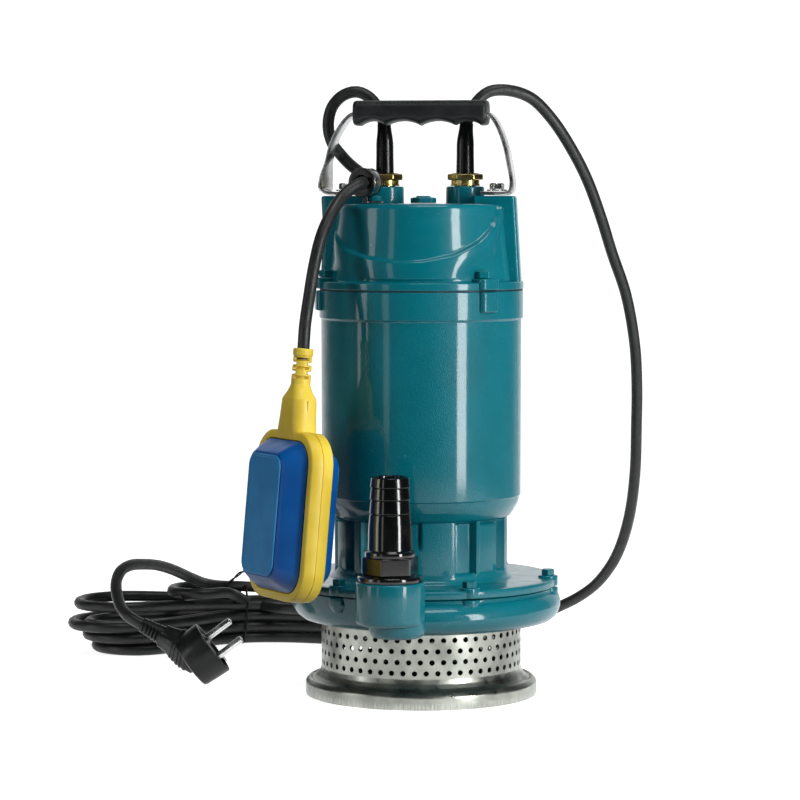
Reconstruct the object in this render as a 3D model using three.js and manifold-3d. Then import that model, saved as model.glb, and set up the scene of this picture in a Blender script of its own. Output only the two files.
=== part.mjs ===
// Submersible sump pump: motor barrel over a volute casing on a drawn steel strainer, strap handle,
// hose fitting, float switch on its own cord and a power cord tied in a hank. Millimetres, +Z up.
// The origin is on the floor on the pump's axis, +X runs along the handle and the discharge faces -Y.
import * as THREE from "three";
import { mergeVertices, mergeGeometries } from "three/addons/utils/BufferGeometryUtils.js";
import Module from "manifold-3d";

const wasm = await Module();
wasm.setup();

// ---- driving dimensions ------------------------------------------------------------------------
const GAP = 0.3;
const ROUND = 32;
const STRAINER = { wallR: 65.3, rimR: 75.7, sheet: 1.2, top: 48.4, holeRows: [20.5, 28, 35.5, 43],
    perRow: 24 };
const CASING = { bottom: 48.7, top: 71.2, smallR: 83, growth: 9, eyeR: 19 };
const BOSS = { x: -5, y: -96, r: 21.7, top: 84.7, bore: 10.5 };
const DISC = { r: 88.5, bottom: 72, top: 77.4 };
const NECK = { coreR: 52, r: 57, bottom: 77, top: 119 };
const BARREL = { lowR: 64.6, highR: 66, bottom: 126.5, top: 246, boreR: 60.5 };
const COLLAR = { r: 66.4, top: 264 };
const CAP = { bottom: 265, flangeTop: 269.8, flangeR: 66.6, lowR: 59.4, highR: 54.8, top: 319.7 };
const EAR = { inner: 38, topOut: 62.2, lowOut: 65.4, half: 8, top: 325 };
const GLAND = { x: 26.6, y: 16, bossR: 12.5, bossTop: 331.2 };
const GRIP = { halfLength: 43.5, z: 378.6 };
const STRAP = { width: 21, thick: 2.4 };
const SHAFT_R = 7;
const CORD_R = 3.9;
const SCREW = { ring: 83.5, count: 6, first: 30 };
const COVER_BOLTS = { ring: 61.7, angles: [48.5, -71.5, 168.5] };
const FLOAT = { centre: [-70.7, -85.3, 124], faceAngle: 219, lean: 5.4, width: 77, length: 107, rim: 15.4,
    depth: 21.4 };
const BALL = { r: 8, z: -37 };

// ---- materials ---------------------------------------------------------------------------------
const paint = { color: 0x067d8c, roughness: 0.3, metalness: 0.1 };
const steel = { color: 0xb9bcbe, roughness: 0.35, metalness: 0.9 };
const zinc = { color: 0xc6c8c9, roughness: 0.3, metalness: 0.9 };
const brass = { color: 0xc2a35a, roughness: 0.35, metalness: 0.9 };
const castIron = { color: 0x55585a, roughness: 0.7, metalness: 0.6 };
const copper = { color: 0xb0663a, roughness: 0.5, metalness: 0.8 };
const blackRubber = { color: 0x16171a, roughness: 0.6, metalness: 0 };
const blackPlastic = { color: 0x0c0d0f, roughness: 0.2, metalness: 0 };
const yellow = { color: 0xe6c846, roughness: 0.45, metalness: 0 };
const blue = { color: 0x0b5fae, roughness: 0.35, metalness: 0 };
const brownSwitch = { color: 0x4a2c1c, roughness: 0.5, metalness: 0 };

// ---- helpers -----------------------------------------------------------------------------------
const deg = THREE.MathUtils.degToRad;
const root = new THREE.Group();

// A closed geometry as a manifold solid.
function solid(geometry) {
  const bare = geometry.clone();
  bare.deleteAttribute("normal");
  bare.deleteAttribute("uv");
  const merged = mergeVertices(bare, 1e-3);
  const mesh = new wasm.Mesh({
    numProp: 3,
    vertProperties: merged.attributes.position.array,
    triVerts: new Uint32Array(merged.index.array),
  });
  return new wasm.Manifold(mesh);
}

const join = (...shapes) => shapes.reduce((all, shape) => all.add(shape));
const cut = (shape, ...tools) => tools.reduce((left, tool) => left.subtract(tool), shape);

// The solid as a named mesh in the part.
function put(name, shape, look, parent = root) {
  const made = shape.getMesh();
  const stride = made.numProp;
  const points = new Float32Array(made.numVert * 3);
  for (let i = 0; i < made.numVert; i++) {
    points.set(made.vertProperties.subarray(i * stride, i * stride + 3), i * 3);
  }
  const geometry = new THREE.BufferGeometry();
  geometry.setAttribute("position", new THREE.BufferAttribute(points, 3));
  geometry.setIndex(new THREE.BufferAttribute(made.triVerts, 1));
  geometry.computeVertexNormals();
  const mesh = new THREE.Mesh(geometry, new THREE.MeshStandardMaterial(look));
  mesh.name = name;
  parent.add(mesh);
}

// A solid of revolution about the vertical axis through (x, y), from [radius, height] pairs.
function turned(profile, segments = ROUND, x = 0, y = 0) {
  const points = profile.map(([r, z]) => new THREE.Vector2(r, z));
  const geometry = new THREE.LatheGeometry(points, segments);
  geometry.rotateX(Math.PI / 2);
  geometry.translate(x, y, 0);
  return solid(geometry);
}

// A ring of square section.
function ring(inner, outer, low, high, segments = ROUND, x = 0, y = 0) {
  return turned([[inner, low], [outer, low], [outer, high], [inner, high], [inner, low]], segments, x, y);
}

function rod(r, low, high, segments = ROUND, x = 0, y = 0) {
  return turned([[0, low], [r, low], [r, high], [0, high]], segments, x, y);
}

// A plan outline raised from one height to another.
function plate(outline, low, high) {
  const shape = new THREE.Shape(outline.map(([x, y]) => new THREE.Vector2(x, y)));
  const geometry = new THREE.ExtrudeGeometry(shape, { depth: high - low, bevelEnabled: false });
  geometry.translate(0, 0, low);
  return solid(geometry);
}

function box(x0, x1, y0, y1, z0, z1) {
  return plate([[x0, y0], [x1, y0], [x1, y1], [x0, y1]], z0, z1);
}

// A regular hexagonal prism, across-flats size given.
function hexagon(flats, low, high, x = 0, y = 0) {
  return rod(flats / Math.sqrt(3), low, high, 6, x, y);
}

// A section of [across, up] pairs swept along a smooth curve through 3-D points.
function swept(section, points, steps) {
  const shape = new THREE.Shape(section.map(([a, b]) => new THREE.Vector2(a, b)));
  const curve = new THREE.CatmullRomCurve3(points.map((p) => new THREE.Vector3(...p)), false,
      "centripetal");
  return solid(new THREE.ExtrudeGeometry(shape, { steps, extrudePath: curve, bevelEnabled: false }));
}

function circle(r, sides) {
  return Array.from({ length: sides }, (_, i) => {
    const a = (2 * Math.PI * i) / sides;
    return [r * Math.cos(a), r * Math.sin(a)];
  });
}

const tube = (points, steps, r = CORD_R) => swept(circle(r, 8), points, steps);

// Plan position at a radius and an angle measured from the front (-Y) towards +X.
const around = (r, angle) => [r * Math.sin(deg(angle)), -r * Math.cos(deg(angle))];

// A wedge-shaped plan sector between two such angles.
function sector(inner, outer, from, to, low, high) {
  const steps = 3;
  const far = Array.from({ length: steps + 1 }, (_, i) => around(outer, from + ((to - from) * i) / steps));
  const near = Array.from({ length: steps + 1 }, (_, i) => around(inner, to + ((from - to) * i) / steps));
  return plate([...far, ...near], low, high);
}

// ---- strainer and base -------------------------------------------------------------------------
function strainer() {
  const { wallR, rimR, sheet, top } = STRAINER;
  const outside = [[rimR, 0], [rimR, 8.2], [73.4, 11.2], [70.4, 10.6], [67.6, 12.6], [wallR, 17],
      [wallR, top]];
  const inside = outside.map(([r, z]) => [r - sheet, z]).reverse();
  const shell = turned([...outside, ...inside, outside[0]], STRAINER.perRow);
  const diamonds = [];
  STRAINER.holeRows.forEach((z, row) => {
    for (let i = 0; i < STRAINER.perRow; i++) {
      const hole = new THREE.BoxGeometry(4.4, 6, 4.4);
      hole.rotateY(Math.PI / 4);
      hole.translate(0, -wallR, 0);
      hole.rotateZ((2 * Math.PI * (i + (row % 2) / 2 + 0.25)) / STRAINER.perRow);
      hole.translate(0, 0, z);
      diamonds.push(hole);
    }
  });
  return shell.subtract(solid(mergeGeometries(diamonds)));
}

function basePlate() {
  const r = STRAINER.rimR - STRAINER.sheet - 1.2;
  return turned([[0, 0], [r, 0], [r, 1.5], [r - 6, 1.5], [r - 12, 4], [30, 4], [24, 1.5], [0, 1.5]]);
}

put("strainer", strainer(), steel);
put("base_plate", basePlate(), steel);

// ---- pump casing -------------------------------------------------------------------------------
// Outer radius of the volute at a plan angle: it grows clockwise, seen from above, up to the discharge.
function voluteRadius(angle) {
  const turn = (((-90 - angle) % 360) + 360) % 360 / 360;
  const neck = Math.max(0, (turn - 0.84) / 0.16);
  return CASING.smallR + CASING.growth * turn ** 1.5 + 8 * neck * neck;
}

// A turned body whose outer wall follows the volute, held at full size inside the given radius.
function spiral(profile, fixedR, shrink) {
  const points = profile.map(([r, z]) => new THREE.Vector2(r, z));
  const geometry = new THREE.LatheGeometry(points, ROUND);
  geometry.rotateX(Math.PI / 2);
  const place = geometry.attributes.position;
  for (let i = 0; i < place.count; i++) {
    const x = place.getX(i);
    const y = place.getY(i);
    const r = Math.hypot(x, y);
    if (r <= fixedR) continue;
    const edge = voluteRadius(THREE.MathUtils.radToDeg(Math.atan2(y, x))) - shrink;
    const reach = (edge - fixedR) / (CASING.smallR - shrink - fixedR);
    const scale = (fixedR + (r - fixedR) * reach) / r;
    place.setXY(i, x * scale, y * scale);
  }
  return solid(geometry);
}

const boss = turned(
  [[0, 49.2], [12, 49.6], [16.4, 52.4], [17.2, 56.5], [BOSS.r, 61.5], [BOSS.r, 83.4], [20.4, BOSS.top],
      [0, BOSS.top]],
  28, BOSS.x, BOSS.y,
);

const screwSpots = Array.from({ length: SCREW.count }, (_, i) => around(SCREW.ring, SCREW.first + 60 * i));

function pumpCasing() {
  const { bottom, top, smallR, eyeR } = CASING;
  const body = spiral([
    [56, bottom], [70, bottom], [77.5, 50.6], [81.6, 54.6], [smallR, 60], [smallR, top - 0.6],
        [smallR - 0.8, top],
    [0, top], [0, 54], [56, 54], [56, bottom],
  ], 66, 0);
  const chamber = spiral([[0, 54.5], [68, 54.5], [74, 58], [75, 63], [75, 80], [0, 80]], 60, 8);
  const lugs = screwSpots.map(([x, y]) => rod(6.6, 62, top, 14, x, y));
  const screwHoles = screwSpots.map(([x, y]) => rod(2.8, 64.5, 90, 8, x, y));
  const outlet = rod(BOSS.bore, 57, 90, 16, BOSS.x, BOSS.y);
  const throat = box(BOSS.x - 4, 24, -88, -66, 58, 68);
  const eye = rod(eyeR + 8, 40, 60, 24);
  return cut(join(body, boss, ...lugs), chamber, eye, outlet, throat, ...screwHoles);
}

function suctionPlate() {
  const { eyeR } = CASING;
  const profile = [[eyeR, 46], [eyeR + 4, 46], [eyeR + 6, 50], [54, 50], [54, 53.6], [eyeR, 53.6],
      [eyeR, 46]];
  return turned(profile, 24);
}

put("pump_casing", pumpCasing(), paint);
put("suction_plate", suctionPlate(), castIron);
put("casing_gasket", ring(60, 73.4, CASING.top + 0.2, DISC.bottom - 0.2, 24), blackRubber);

// ---- discharge hose fitting --------------------------------------------------------------------
function hoseFitting() {
  const flange = BOSS.top + GAP;
  const barbs = [
    [9, flange], [20.4, flange], [20.4, flange + 3.6], [19.6, flange + 4.4], [15, flange + 4.4],
    [15, 100.4], [15.8, 101], [15.8, 103.4], [13.9, 104.6], [13.5, 119], [12.9, 126.8], [12.3, 127.2],
    [12.8, 127.8], [12.2, 135.4], [11.8, 135.8], [12.6, 136.4], [12, 143], [11.6, 143.4], [12.4, 144],
    [11.8, 150.4], [9, 150.4], [9, flange],
  ];
  const nut = hexagon(31.5, flange + 4, 100.2, BOSS.x, BOSS.y);
  const bore = rod(9, flange - 5, 200, 20, BOSS.x, BOSS.y);
  return cut(join(turned(barbs, 20, BOSS.x, BOSS.y), nut), bore);
}

put("discharge_fitting", hoseFitting(), blackPlastic);

// ---- motor housing -----------------------------------------------------------------------------
const lugAt = (r, low, high) => COVER_BOLTS.angles.map((a) => rod(r, low, high, 14,
    ...around(COVER_BOLTS.ring, a)));
const coverBoltHoles = COVER_BOLTS.angles.map((a) => rod(2.8, 254, 280, 8, ...around(COVER_BOLTS.ring, a)));

function motorHousing() {
  const shell = turned([
    [0, DISC.bottom], [DISC.r - 1.5, DISC.bottom], [DISC.r, DISC.bottom + 1.5], [DISC.r, DISC.top - 1.6],
    [DISC.r - 1.6, DISC.top], [60, DISC.top], [58.2, 79], [57.8, 82.6], [NECK.coreR, 83.4],
        [NECK.coreR, NECK.top - 3],
    [58.4, NECK.top], [BARREL.lowR, BARREL.bottom], [BARREL.highR, BARREL.top - 1], [COLLAR.r, BARREL.top],
    [COLLAR.r, COLLAR.top], [0, COLLAR.top],
  ]);
  const panels = [];
  const pockets = [];
  for (const turn of [0, 120, 240]) {
    panels.push(sector(40, NECK.r + 0.2, turn - 14, turn + 32, 80, NECK.top));
    panels.push(sector(40, NECK.r, turn + 40, turn + 69, 80, NECK.top));
    panels.push(sector(40, NECK.r, turn + 79, turn + 87, 80, NECK.top));
    pockets.push(sector(NECK.r - 2.5, NECK.r + 6, turn - 9, turn + 8, 100, 114));
  }
  const discLugs = screwSpots.map(([x, y]) => rod(6.6, DISC.bottom, DISC.top + 1.2, 14, x, y));
  const screwHoles = screwSpots.map(([x, y]) => rod(2.8, 60, 90, 8, x, y));
  const bossRelief = rod(BOSS.r + 0.5, 60, DISC.top + 5, 28, BOSS.x, BOSS.y);
  const fittingRelief = rod(20.9, DISC.top, 100, 28, BOSS.x, BOSS.y);
  const cavity = turned([
    [0, 60], [40.5, 60], [40.5, 103], [10, 103], [10, 111], [20.3, 111], [20.3, 124], [48, 124], [57, 130],
    [BARREL.boreR, 131], [BARREL.boreR, 300], [0, 300],
  ], 24);
  const whole = join(shell, ...panels, ...discLugs, ...lugAt(8.2, 252, COLLAR.top));
  return cut(whole, ...pockets, cavity, bossRelief, fittingRelief, ...screwHoles, ...coverBoltHoles);
}

put("motor_housing", motorHousing(), paint);
put("cover_gasket", ring(60.8, 65.8, COLLAR.top + 0.3, CAP.bottom - 0.3,
    24).subtract(join(...coverBoltHoles)), blackRubber);

function hexScrew(x, y, seat, flats, headHeight, end, shankR = 2.5) {
  return join(hexagon(flats, seat, seat + headHeight, x, y), rod(shankR, end, seat + 0.5, 8, x, y));
}

screwSpots.forEach(([x, y], i) => {
  put("casing_screw_" + (i + 1), hexScrew(x, y, DISC.top + 1.5, 8, 3.8, 66), paint);
});

// ---- top cover ---------------------------------------------------------------------------------
const glandSpots = [["left", -GLAND.x], ["right", GLAND.x]];

// The curved step that crosses the front of the cover like a smile: plan angle and height pairs.
const SMILE = [
  [71, 317.5], [62, 304.6], [46.5, 294], [29, 286.5], [10, 283], [-6, 282.5], [-26, 285.2], [-48, 290.6],
      [-67, 299.4],
  [-79, 306],
];

function smileRidge() {
  const slope = (CAP.lowR - CAP.highR) / (CAP.top - CAP.flangeTop);
  const points = SMILE.map(([angle, z]) => {
    const [x, y] = around(CAP.highR + (CAP.top - z) * slope, angle);
    return [x, y, z];
  });
  return swept(circle(1.9, 4), points, 18);
}

function ear(side) {
  const { inner, topOut, lowOut, half, top } = EAR;
  const outline = [[inner, 300], [inner, top], [topOut - 2, top], [topOut, top - 2],
      [lowOut, CAP.flangeTop], [50, CAP.flangeTop - 1]];
  const shape = new THREE.Shape(outline.map(([x, z]) => new THREE.Vector2(x, z)));
  const geometry = new THREE.ExtrudeGeometry(shape, { depth: 2 * half, bevelEnabled: false });
  geometry.rotateX(Math.PI / 2);
  geometry.translate(0, half, 0);
  if (side < 0) geometry.rotateZ(Math.PI);
  return solid(geometry);
}

const handleBoltX = 49.5;
const ventSpot = [2, -4];
const clipBoltSpot = [-28, -15];

function topCover() {
  const dome = turned([
    [0, CAP.bottom], [CAP.flangeR, CAP.bottom], [CAP.flangeR, CAP.flangeTop - 0.8],
        [CAP.flangeR - 0.8, CAP.flangeTop],
    [CAP.lowR + 0.6, CAP.flangeTop + 0.2], [CAP.lowR, CAP.flangeTop + 1.4], [CAP.highR, CAP.top - 3],
    [CAP.highR - 1, CAP.top - 0.9], [CAP.highR - 3, CAP.top], [0, CAP.top],
  ]);
  const pads = lugAt(9.4, CAP.bottom, 272.4);
  const bosses = glandSpots.map(([, x]) => turned(
    [[0, 310], [GLAND.bossR, 310], [GLAND.bossR, GLAND.bossTop - 1], [GLAND.bossR - 1, GLAND.bossTop],
        [0, GLAND.bossTop]],
    20, x, GLAND.y,
  ));
  const hollow = turned([[0, 250], [56, 250], [56, 269], [54, 272], [50, 313], [48, 315], [0, 315]], 24);
  const glandHoles = glandSpots.map(([, x]) => rod(7.8, 300, 340, 12, x, GLAND.y));
  const handleHoles = [-1, 1].map((side) => rod(2.8, 312, 330, 8, side * handleBoltX, 0));
  const solidCap = join(dome, ...pads, ...bosses, ear(1), ear(-1), smileRidge());
  const reliefs = COVER_BOLTS.angles.map((a) => rod(6.6, 272.4, 279, 12, ...around(COVER_BOLTS.ring, a)));
  const ventHole = rod(4.3, 310, 330, 10, ...ventSpot);
  const clipHole = rod(2.3, 316, 330, 8, ...clipBoltSpot);
  return cut(solidCap, hollow, ventHole, clipHole, ...reliefs, ...glandHoles, ...handleHoles,
      ...coverBoltHoles);
}

put("top_cover", topCover(), paint);
COVER_BOLTS.angles.forEach((angle, i) => {
  const [x, y] = around(COVER_BOLTS.ring, angle);
  put("cover_bolt_" + (i + 1), hexScrew(x, y, 272.7, 10, 4.2, 256), paint);
});
put("vent_plug", join(hexagon(15, CAP.top + GAP, CAP.top + 4.3, ...ventSpot),
    rod(4, 311, CAP.top + 1, 10, ...ventSpot)), paint);

// ---- cable glands ------------------------------------------------------------------------------
for (const [side, x] of glandSpots) {
  const seat = GLAND.bossTop + GAP;
  const nut = join(
    rod(9.4, seat, seat + 3.6, 14, x, GLAND.y),
    hexagon(20.4, seat + 3.4, seat + 8.2, x, GLAND.y),
    rod(7.5, 318, seat + 1, 12, x, GLAND.y),
  );
  put("gland_nut_" + side, nut.subtract(rod(6.5, 300, 350, 12, x, GLAND.y)), brass);
}

for (const [side, x] of glandSpots) {
  const sleeve = turned([[0, 322], [6.1, 322], [6.1, 357], [5.2, 362], [0, 362]], 12, x, GLAND.y);
  put("gland_sleeve_" + side, sleeve, blackRubber);
}

// ---- carrying handle ---------------------------------------------------------------------------
// Half of the strap's centre line, from the middle of the grip to the end of the foot.
const strapLine = [
  [0, GRIP.z], [38, GRIP.z], [44.4, 377.6], [47.6, 374.8], [51.2, 368.6], [55.3, 357.5], [58, 345],
      [59.6, 336],
  [59.8, 330.6], [58.8, 327.6], [56.4, 326.7], [40, 326.7],
];

// The outline of a strap of even thickness about a half line, mirrored into a whole one.
function strapOutline(thick) {
  const line = [...strapLine.slice(1).map(([x, z]) => [-x, z]).reverse(), ...strapLine];
  const side = (sign) => line.map(([x, z], i) => {
    const [ax, az] = line[Math.max(i - 1, 0)];
    const [bx, bz] = line[Math.min(i + 1, line.length - 1)];
    const length = Math.hypot(bx - ax, bz - az);
    return [x - (sign * thick * (bz - az)) / (2 * length), z + (sign * thick * (bx - ax)) / (2 * length)];
  });
  return [...side(-1), ...side(1).reverse()];
}

function strap(thick, width) {
  const shape = new THREE.Shape(strapOutline(thick).map(([x, z]) => new THREE.Vector2(x, z)));
  const geometry = new THREE.ExtrudeGeometry(shape, { depth: width, bevelEnabled: false });
  geometry.rotateX(Math.PI / 2);
  geometry.translate(0, width / 2, 0);
  return solid(geometry);
}

// The moulded grip: an oval bar with four finger waves along its underside.
function grip() {
  const sides = 10;
  const stations = 20;
  const rings = [];
  for (let i = 0; i <= stations; i++) {
    const x = -GRIP.halfLength + (2 * GRIP.halfLength * i) / stations;
    const end = Math.min(1, (GRIP.halfLength - Math.abs(x)) / 2.5);
    const wave = 1.5 * Math.cos((Math.PI * 2 * x) / 20);
    for (let k = 0; k < sides; k++) {
      const a = (2 * Math.PI * (k + 0.5)) / sides;
      const reach = 0.9 + 0.1 * end;
      const drop = Math.sin(a) < 0 ? -wave * Math.sin(a) : 0;
      rings.push(x, 12.4 * reach * Math.cos(a), GRIP.z + 7.9 * reach * Math.sin(a) - drop);
    }
  }
  const faces = [];
  for (let i = 0; i < stations; i++) {
    for (let k = 0; k < sides; k++) {
      const a = i * sides + k;
      const b = i * sides + ((k + 1) % sides);
      faces.push(a, b, b + sides, a, b + sides, a + sides);
    }
  }
  const last = stations * sides;
  for (let k = 1; k < sides - 1; k++) {
    faces.push(0, k + 1, k);
    faces.push(last, last + k, last + k + 1);
  }
  const geometry = new THREE.BufferGeometry();
  geometry.setAttribute("position", new THREE.Float32BufferAttribute(rings, 3));
  geometry.setIndex(faces);
  return solid(geometry);
}

const strapHoles = [-1, 1].map((side) => rod(2.9, 320, 332, 10, side * handleBoltX, 0));
put("handle_strap", cut(strap(STRAP.thick, STRAP.width), ...strapHoles), zinc);
put("handle_grip", cut(grip(), strap(STRAP.thick + 2 * GAP, STRAP.width + 2 * GAP)), blackRubber);
for (const [side, x] of [["left", -handleBoltX], ["right", handleBoltX]]) {
  const washer = rod(6.6, 328.2, 329.6, 16, x, 0);
  put("handle_bolt_" + side, join(washer, hexScrew(x, 0, 329.4, 8.6, 3.6, 313.5)), zinc);
}

// ---- cord clip on the cover --------------------------------------------------------------------
const clipCentre = [-34, -17.5, 333.5];
const clipTurn = 4;

// A ring whose hole runs level, facing the front-left of the pump.
function levelRing(inner, outer, width) {
  const profile = [[inner, -width / 2], [outer, -width / 2], [outer, width / 2], [inner, width / 2],
      [inner, -width / 2]];
  const geometry = new THREE.LatheGeometry(profile.map(([r, h]) => new THREE.Vector2(r, h)), 16);
  geometry.rotateZ(deg(-clipTurn));
  geometry.translate(...clipCentre);
  return solid(geometry);
}

function clipBand() {
  const loop = levelRing(7.9, 8.9, 9);
  const tab = box(-35, -23, -20, -10.5, CAP.top + GAP, CAP.top + 1.5);
  const web = box(-36, -31.5, -20.5, -12.5, CAP.top + GAP, 328);
  const inside = levelRing(0.1, 7.9, 30);
  const whole = join(loop, tab, web);
  return cut(whole, inside, rod(2.4, 315, 325, 10, ...clipBoltSpot));
}

put("cord_clip_cushion", levelRing(4.7, 7.6, 10.5), blackRubber);
put("cord_clip_band", clipBand(), zinc);
put("clip_bolt", hexScrew(...clipBoltSpot, CAP.top + 1.8, 7, 3, 317, 2), paint);

// ---- motor and pump insides --------------------------------------------------------------------
put("stator_core", ring(35.6, BARREL.boreR - GAP, 146, 214, 24), castIron);
put("stator_winding_top", turned([[38, 214.3], [54, 214.3], [53, 228], [48, 232], [41, 230], [38, 214.3]],
    24), copper);
put("stator_winding_bottom", turned([[38, 145.7], [41, 134], [48, 132], [53, 134], [54, 145.7],
    [38, 145.7]], 24), copper);
put("bearing_bracket", turned([
  [10, 240], [14, 240], [22, 238], [60.2, 238], [60.2, 243], [24, 243], [20, 252], [15.8, 252], [15.8, 243],
      [10, 243],
  [10, 240],
], 24), castIron);
put("upper_bearing", ring(SHAFT_R + GAP, 15.5, 243.3, 251.5, 20), steel);
put("lower_bearing", ring(SHAFT_R + GAP, 20, 111.4, 123.4, 20), steel);
put("oil_chamber_plate", turned([
  [12.6, DISC.bottom + GAP], [39.6, DISC.bottom + GAP], [39.6, 78], [16, 78], [15.6, 82], [12.6, 82],
  [12.6, DISC.bottom + GAP],
], 28), castIron);
put("seal_seat", ring(SHAFT_R + 1, 12.3, 74, 83, 16), castIron);
put("capacitor", rod(13, 272, 306, 20, 2, -28), blackPlastic);

// Everything that turns with the shaft.
put("shaft", turned([[0, 51], [4, 51], [4, 58.2], [SHAFT_R, 58.2], [SHAFT_R, 252], [0, 252]], 16), steel);
put("rotor_core", ring(SHAFT_R + GAP, 34.6, 146, 214, 20), castIron);
put("seal_head", turned([[SHAFT_R + GAP, 83.4], [11.5, 83.4], [12.5, 86], [12.5, 94], [SHAFT_R + GAP, 97],
    [SHAFT_R + GAP, 83.4]], 16), steel);
put("impeller_nut", hexagon(12, 53.6, 58, 0, 0).subtract(rod(4 + GAP, 50, 60, 16)), steel);

function impeller() {
  const hub = turned([[4.3, 58.5], [12, 58.5], [15, 65], [56, 66.5], [56, 69.3], [4.3, 69.3], [4.3, 58.5]],
      24);
  const vanes = Array.from({ length: 6 }, (_, i) => {
    const centre = [10, 22, 34, 46, 56].map((r, k) => around(r, 60 * i + k * 16));
    const wide = centre.map(([x, y]) => [x * 1.02, y * 1.02]);
    const other = [10, 22, 34, 46, 56].map((r, k) => around(r, 60 * i + k * 16 + 6 - k * 0.4));
    return plate([...wide.reverse(), ...other], 58.8, 67);
  });
  return cut(join(hub, ...vanes), rod(SHAFT_R + GAP, 58, 90, 16), ring(56, 80, 50, 80, 24));
}
put("impeller", impeller(), brass);

// ---- float switch ------------------------------------------------------------------------------
const floatGroup = new THREE.Group();
floatGroup.rotation.order = "ZXY";
floatGroup.rotation.z = deg(FLOAT.faceAngle + 90);
floatGroup.rotation.x = deg(-FLOAT.lean);
floatGroup.position.set(...FLOAT.centre);
root.add(floatGroup);

// An upright slab with rounded corners: width along X, length along Z, from one depth in Y to another.
function slab(width, length, corner, from, to) {
  const steps = 4;
  const outline = [];
  [[1, -1], [1, 1], [-1, 1], [-1, -1]].forEach(([sx, sz], quarter) => {
    for (let i = 0; i <= steps; i++) {
      const a = deg(-90 + 90 * quarter + (90 * i) / steps);
      outline.push([
        sx * (width / 2 - corner) + corner * Math.cos(a),
        sz * (length / 2 - corner) + corner * Math.sin(a),
      ]);
    }
  });
  return plate(outline, from, to).rotate([90, 0, 0]);
}

// A shell half: straight skirt, then a chamfer up to a smaller face.
function halfShell(width, length, skirt, depth, face) {
  const stations = [[width, length, 14, 0.15], [width, length, 14, skirt], [face[0], face[1], 7, depth]];
  const points = [];
  for (const [w, l, c, y] of stations) {
    const a = w / 2;
    const b = l / 2;
    const outline = [
      [-a, -b + c], [-a + c, -b], [a - c, -b], [a, -b + c], [a, b - c], [a - c, b], [-a + c, b],
          [-a, b - c],
    ];
    outline.forEach(([x, z]) => points.push(x, -y, z));
  }
  const faces = [];
  for (let s = 0; s < 2; s++) {
    for (let k = 0; k < 8; k++) {
      const p = s * 8 + k;
      const q = s * 8 + ((k + 1) % 8);
      faces.push(p, q, q + 8, p, q + 8, p + 8);
    }
  }
  for (let k = 1; k < 7; k++) {
    faces.push(0, k + 1, k);
    faces.push(16, 16 + k, 16 + k + 1);
  }
  const geometry = new THREE.BufferGeometry();
  geometry.setAttribute("position", new THREE.Float32BufferAttribute(points, 3));
  geometry.setIndex(faces);
  return solid(geometry);
}

function floatShell() {
  const { width, length, depth } = FLOAT;
  const outer = halfShell(width - 12.4, length - 12.4, 8.5, depth - 1, [42, 78]);
  const inner = halfShell(width - 17, length - 17, 7.6, depth - 3.2, [38, 74]);
  const raised = slab(40, 76, 6, depth - 2, depth);
  return cut(join(outer, raised), inner.translate([0, 0.5, 0]));
}

function floatFrame() {
  const { width, length, rim } = FLOAT;
  const band = slab(width, length, 21, -rim / 2, rim / 2);
  const window = slab(width - 11.8, length - 11.8, 15.2, -rim, rim);
  const neckProfile = [
    [0, 51.5], [15.5, 51.5], [14.5, 56], [12.6, 62], [12.4, 74], [10, 80], [6.6, 83], [6.6, 105.6],
        [0, 105.6],
  ];
  const neck = turned(neckProfile, 16).intersect(box(-20, 20, -rim / 2 - 0.5, rim / 2 + 0.5, 40, 120));
  const grooves = [87, 92, 97, 102].map((z) => ring(5.4, 9, z - 0.9, z + 0.9, 16));
  return cut(join(cut(band, window), neck), ...grooves);
}

put("float_frame", floatFrame(), yellow, floatGroup);
put("float_shell_front", floatShell(), blue, floatGroup);
put("float_shell_back", floatShell().rotate([0, 0, 180]), blue, floatGroup);
put("float_switch_unit", box(-9, 9, -5.5, 5.5, 12, 38), brownSwitch, floatGroup);
const ball = new THREE.SphereGeometry(BALL.r, 12, 8);
ball.translate(0, 0, BALL.z);
put("float_ball", solid(ball), steel, floatGroup);

// ---- float cord --------------------------------------------------------------------------------
// From the left gland up behind the grip, over, back inside the strap and through the clip.
const floatCordLoop = [
  [-26.6, 16, 362.4], [-27.2, 16.8, 371.4], [-31.4, 18.4, 382], [-37, 19, 389.3], [-45.4, 18.8, 393.2],
  [-54.7, 18.4, 391], [-62, 17.8, 383.3], [-64.6, 17.4, 371.5], [-61.8, 16.8, 359.7], [-55, 15.5, 351],
  [-48, 9, 345], [-40.5, 1.5, 340], [-35.2, -5.5, 335.6], [-33.7, -12, 333.7], [-34, -17.5, 333.5],
  [-34.4, -23.8, 333.4],
];
// The swinging end hangs from here down to the float's boot.
const floatPivot = [-34.5, -28.1, 333.2];
const floatCordFree = [
  floatPivot, [-37.5, -32, 331.4], [-44.1, -39, 325.6], [-50.2, -51, 313.6], [-54.9, -60, 299.6],
  [-58.2, -67, 281.2], [-60.8, -72.4, 260], [-62.3, -77.6, 243], [-63, -79, 229.6],
];

function freeCord() {
  const end = new THREE.SphereGeometry(CORD_R, 10, 7);
  end.translate(...floatPivot);
  return join(tube(floatCordFree, 16), solid(end));
}

put("float_cord_loop", tube(floatCordLoop, 30), blackRubber);
put("float_cord_free", freeCord(), blackRubber);

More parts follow.
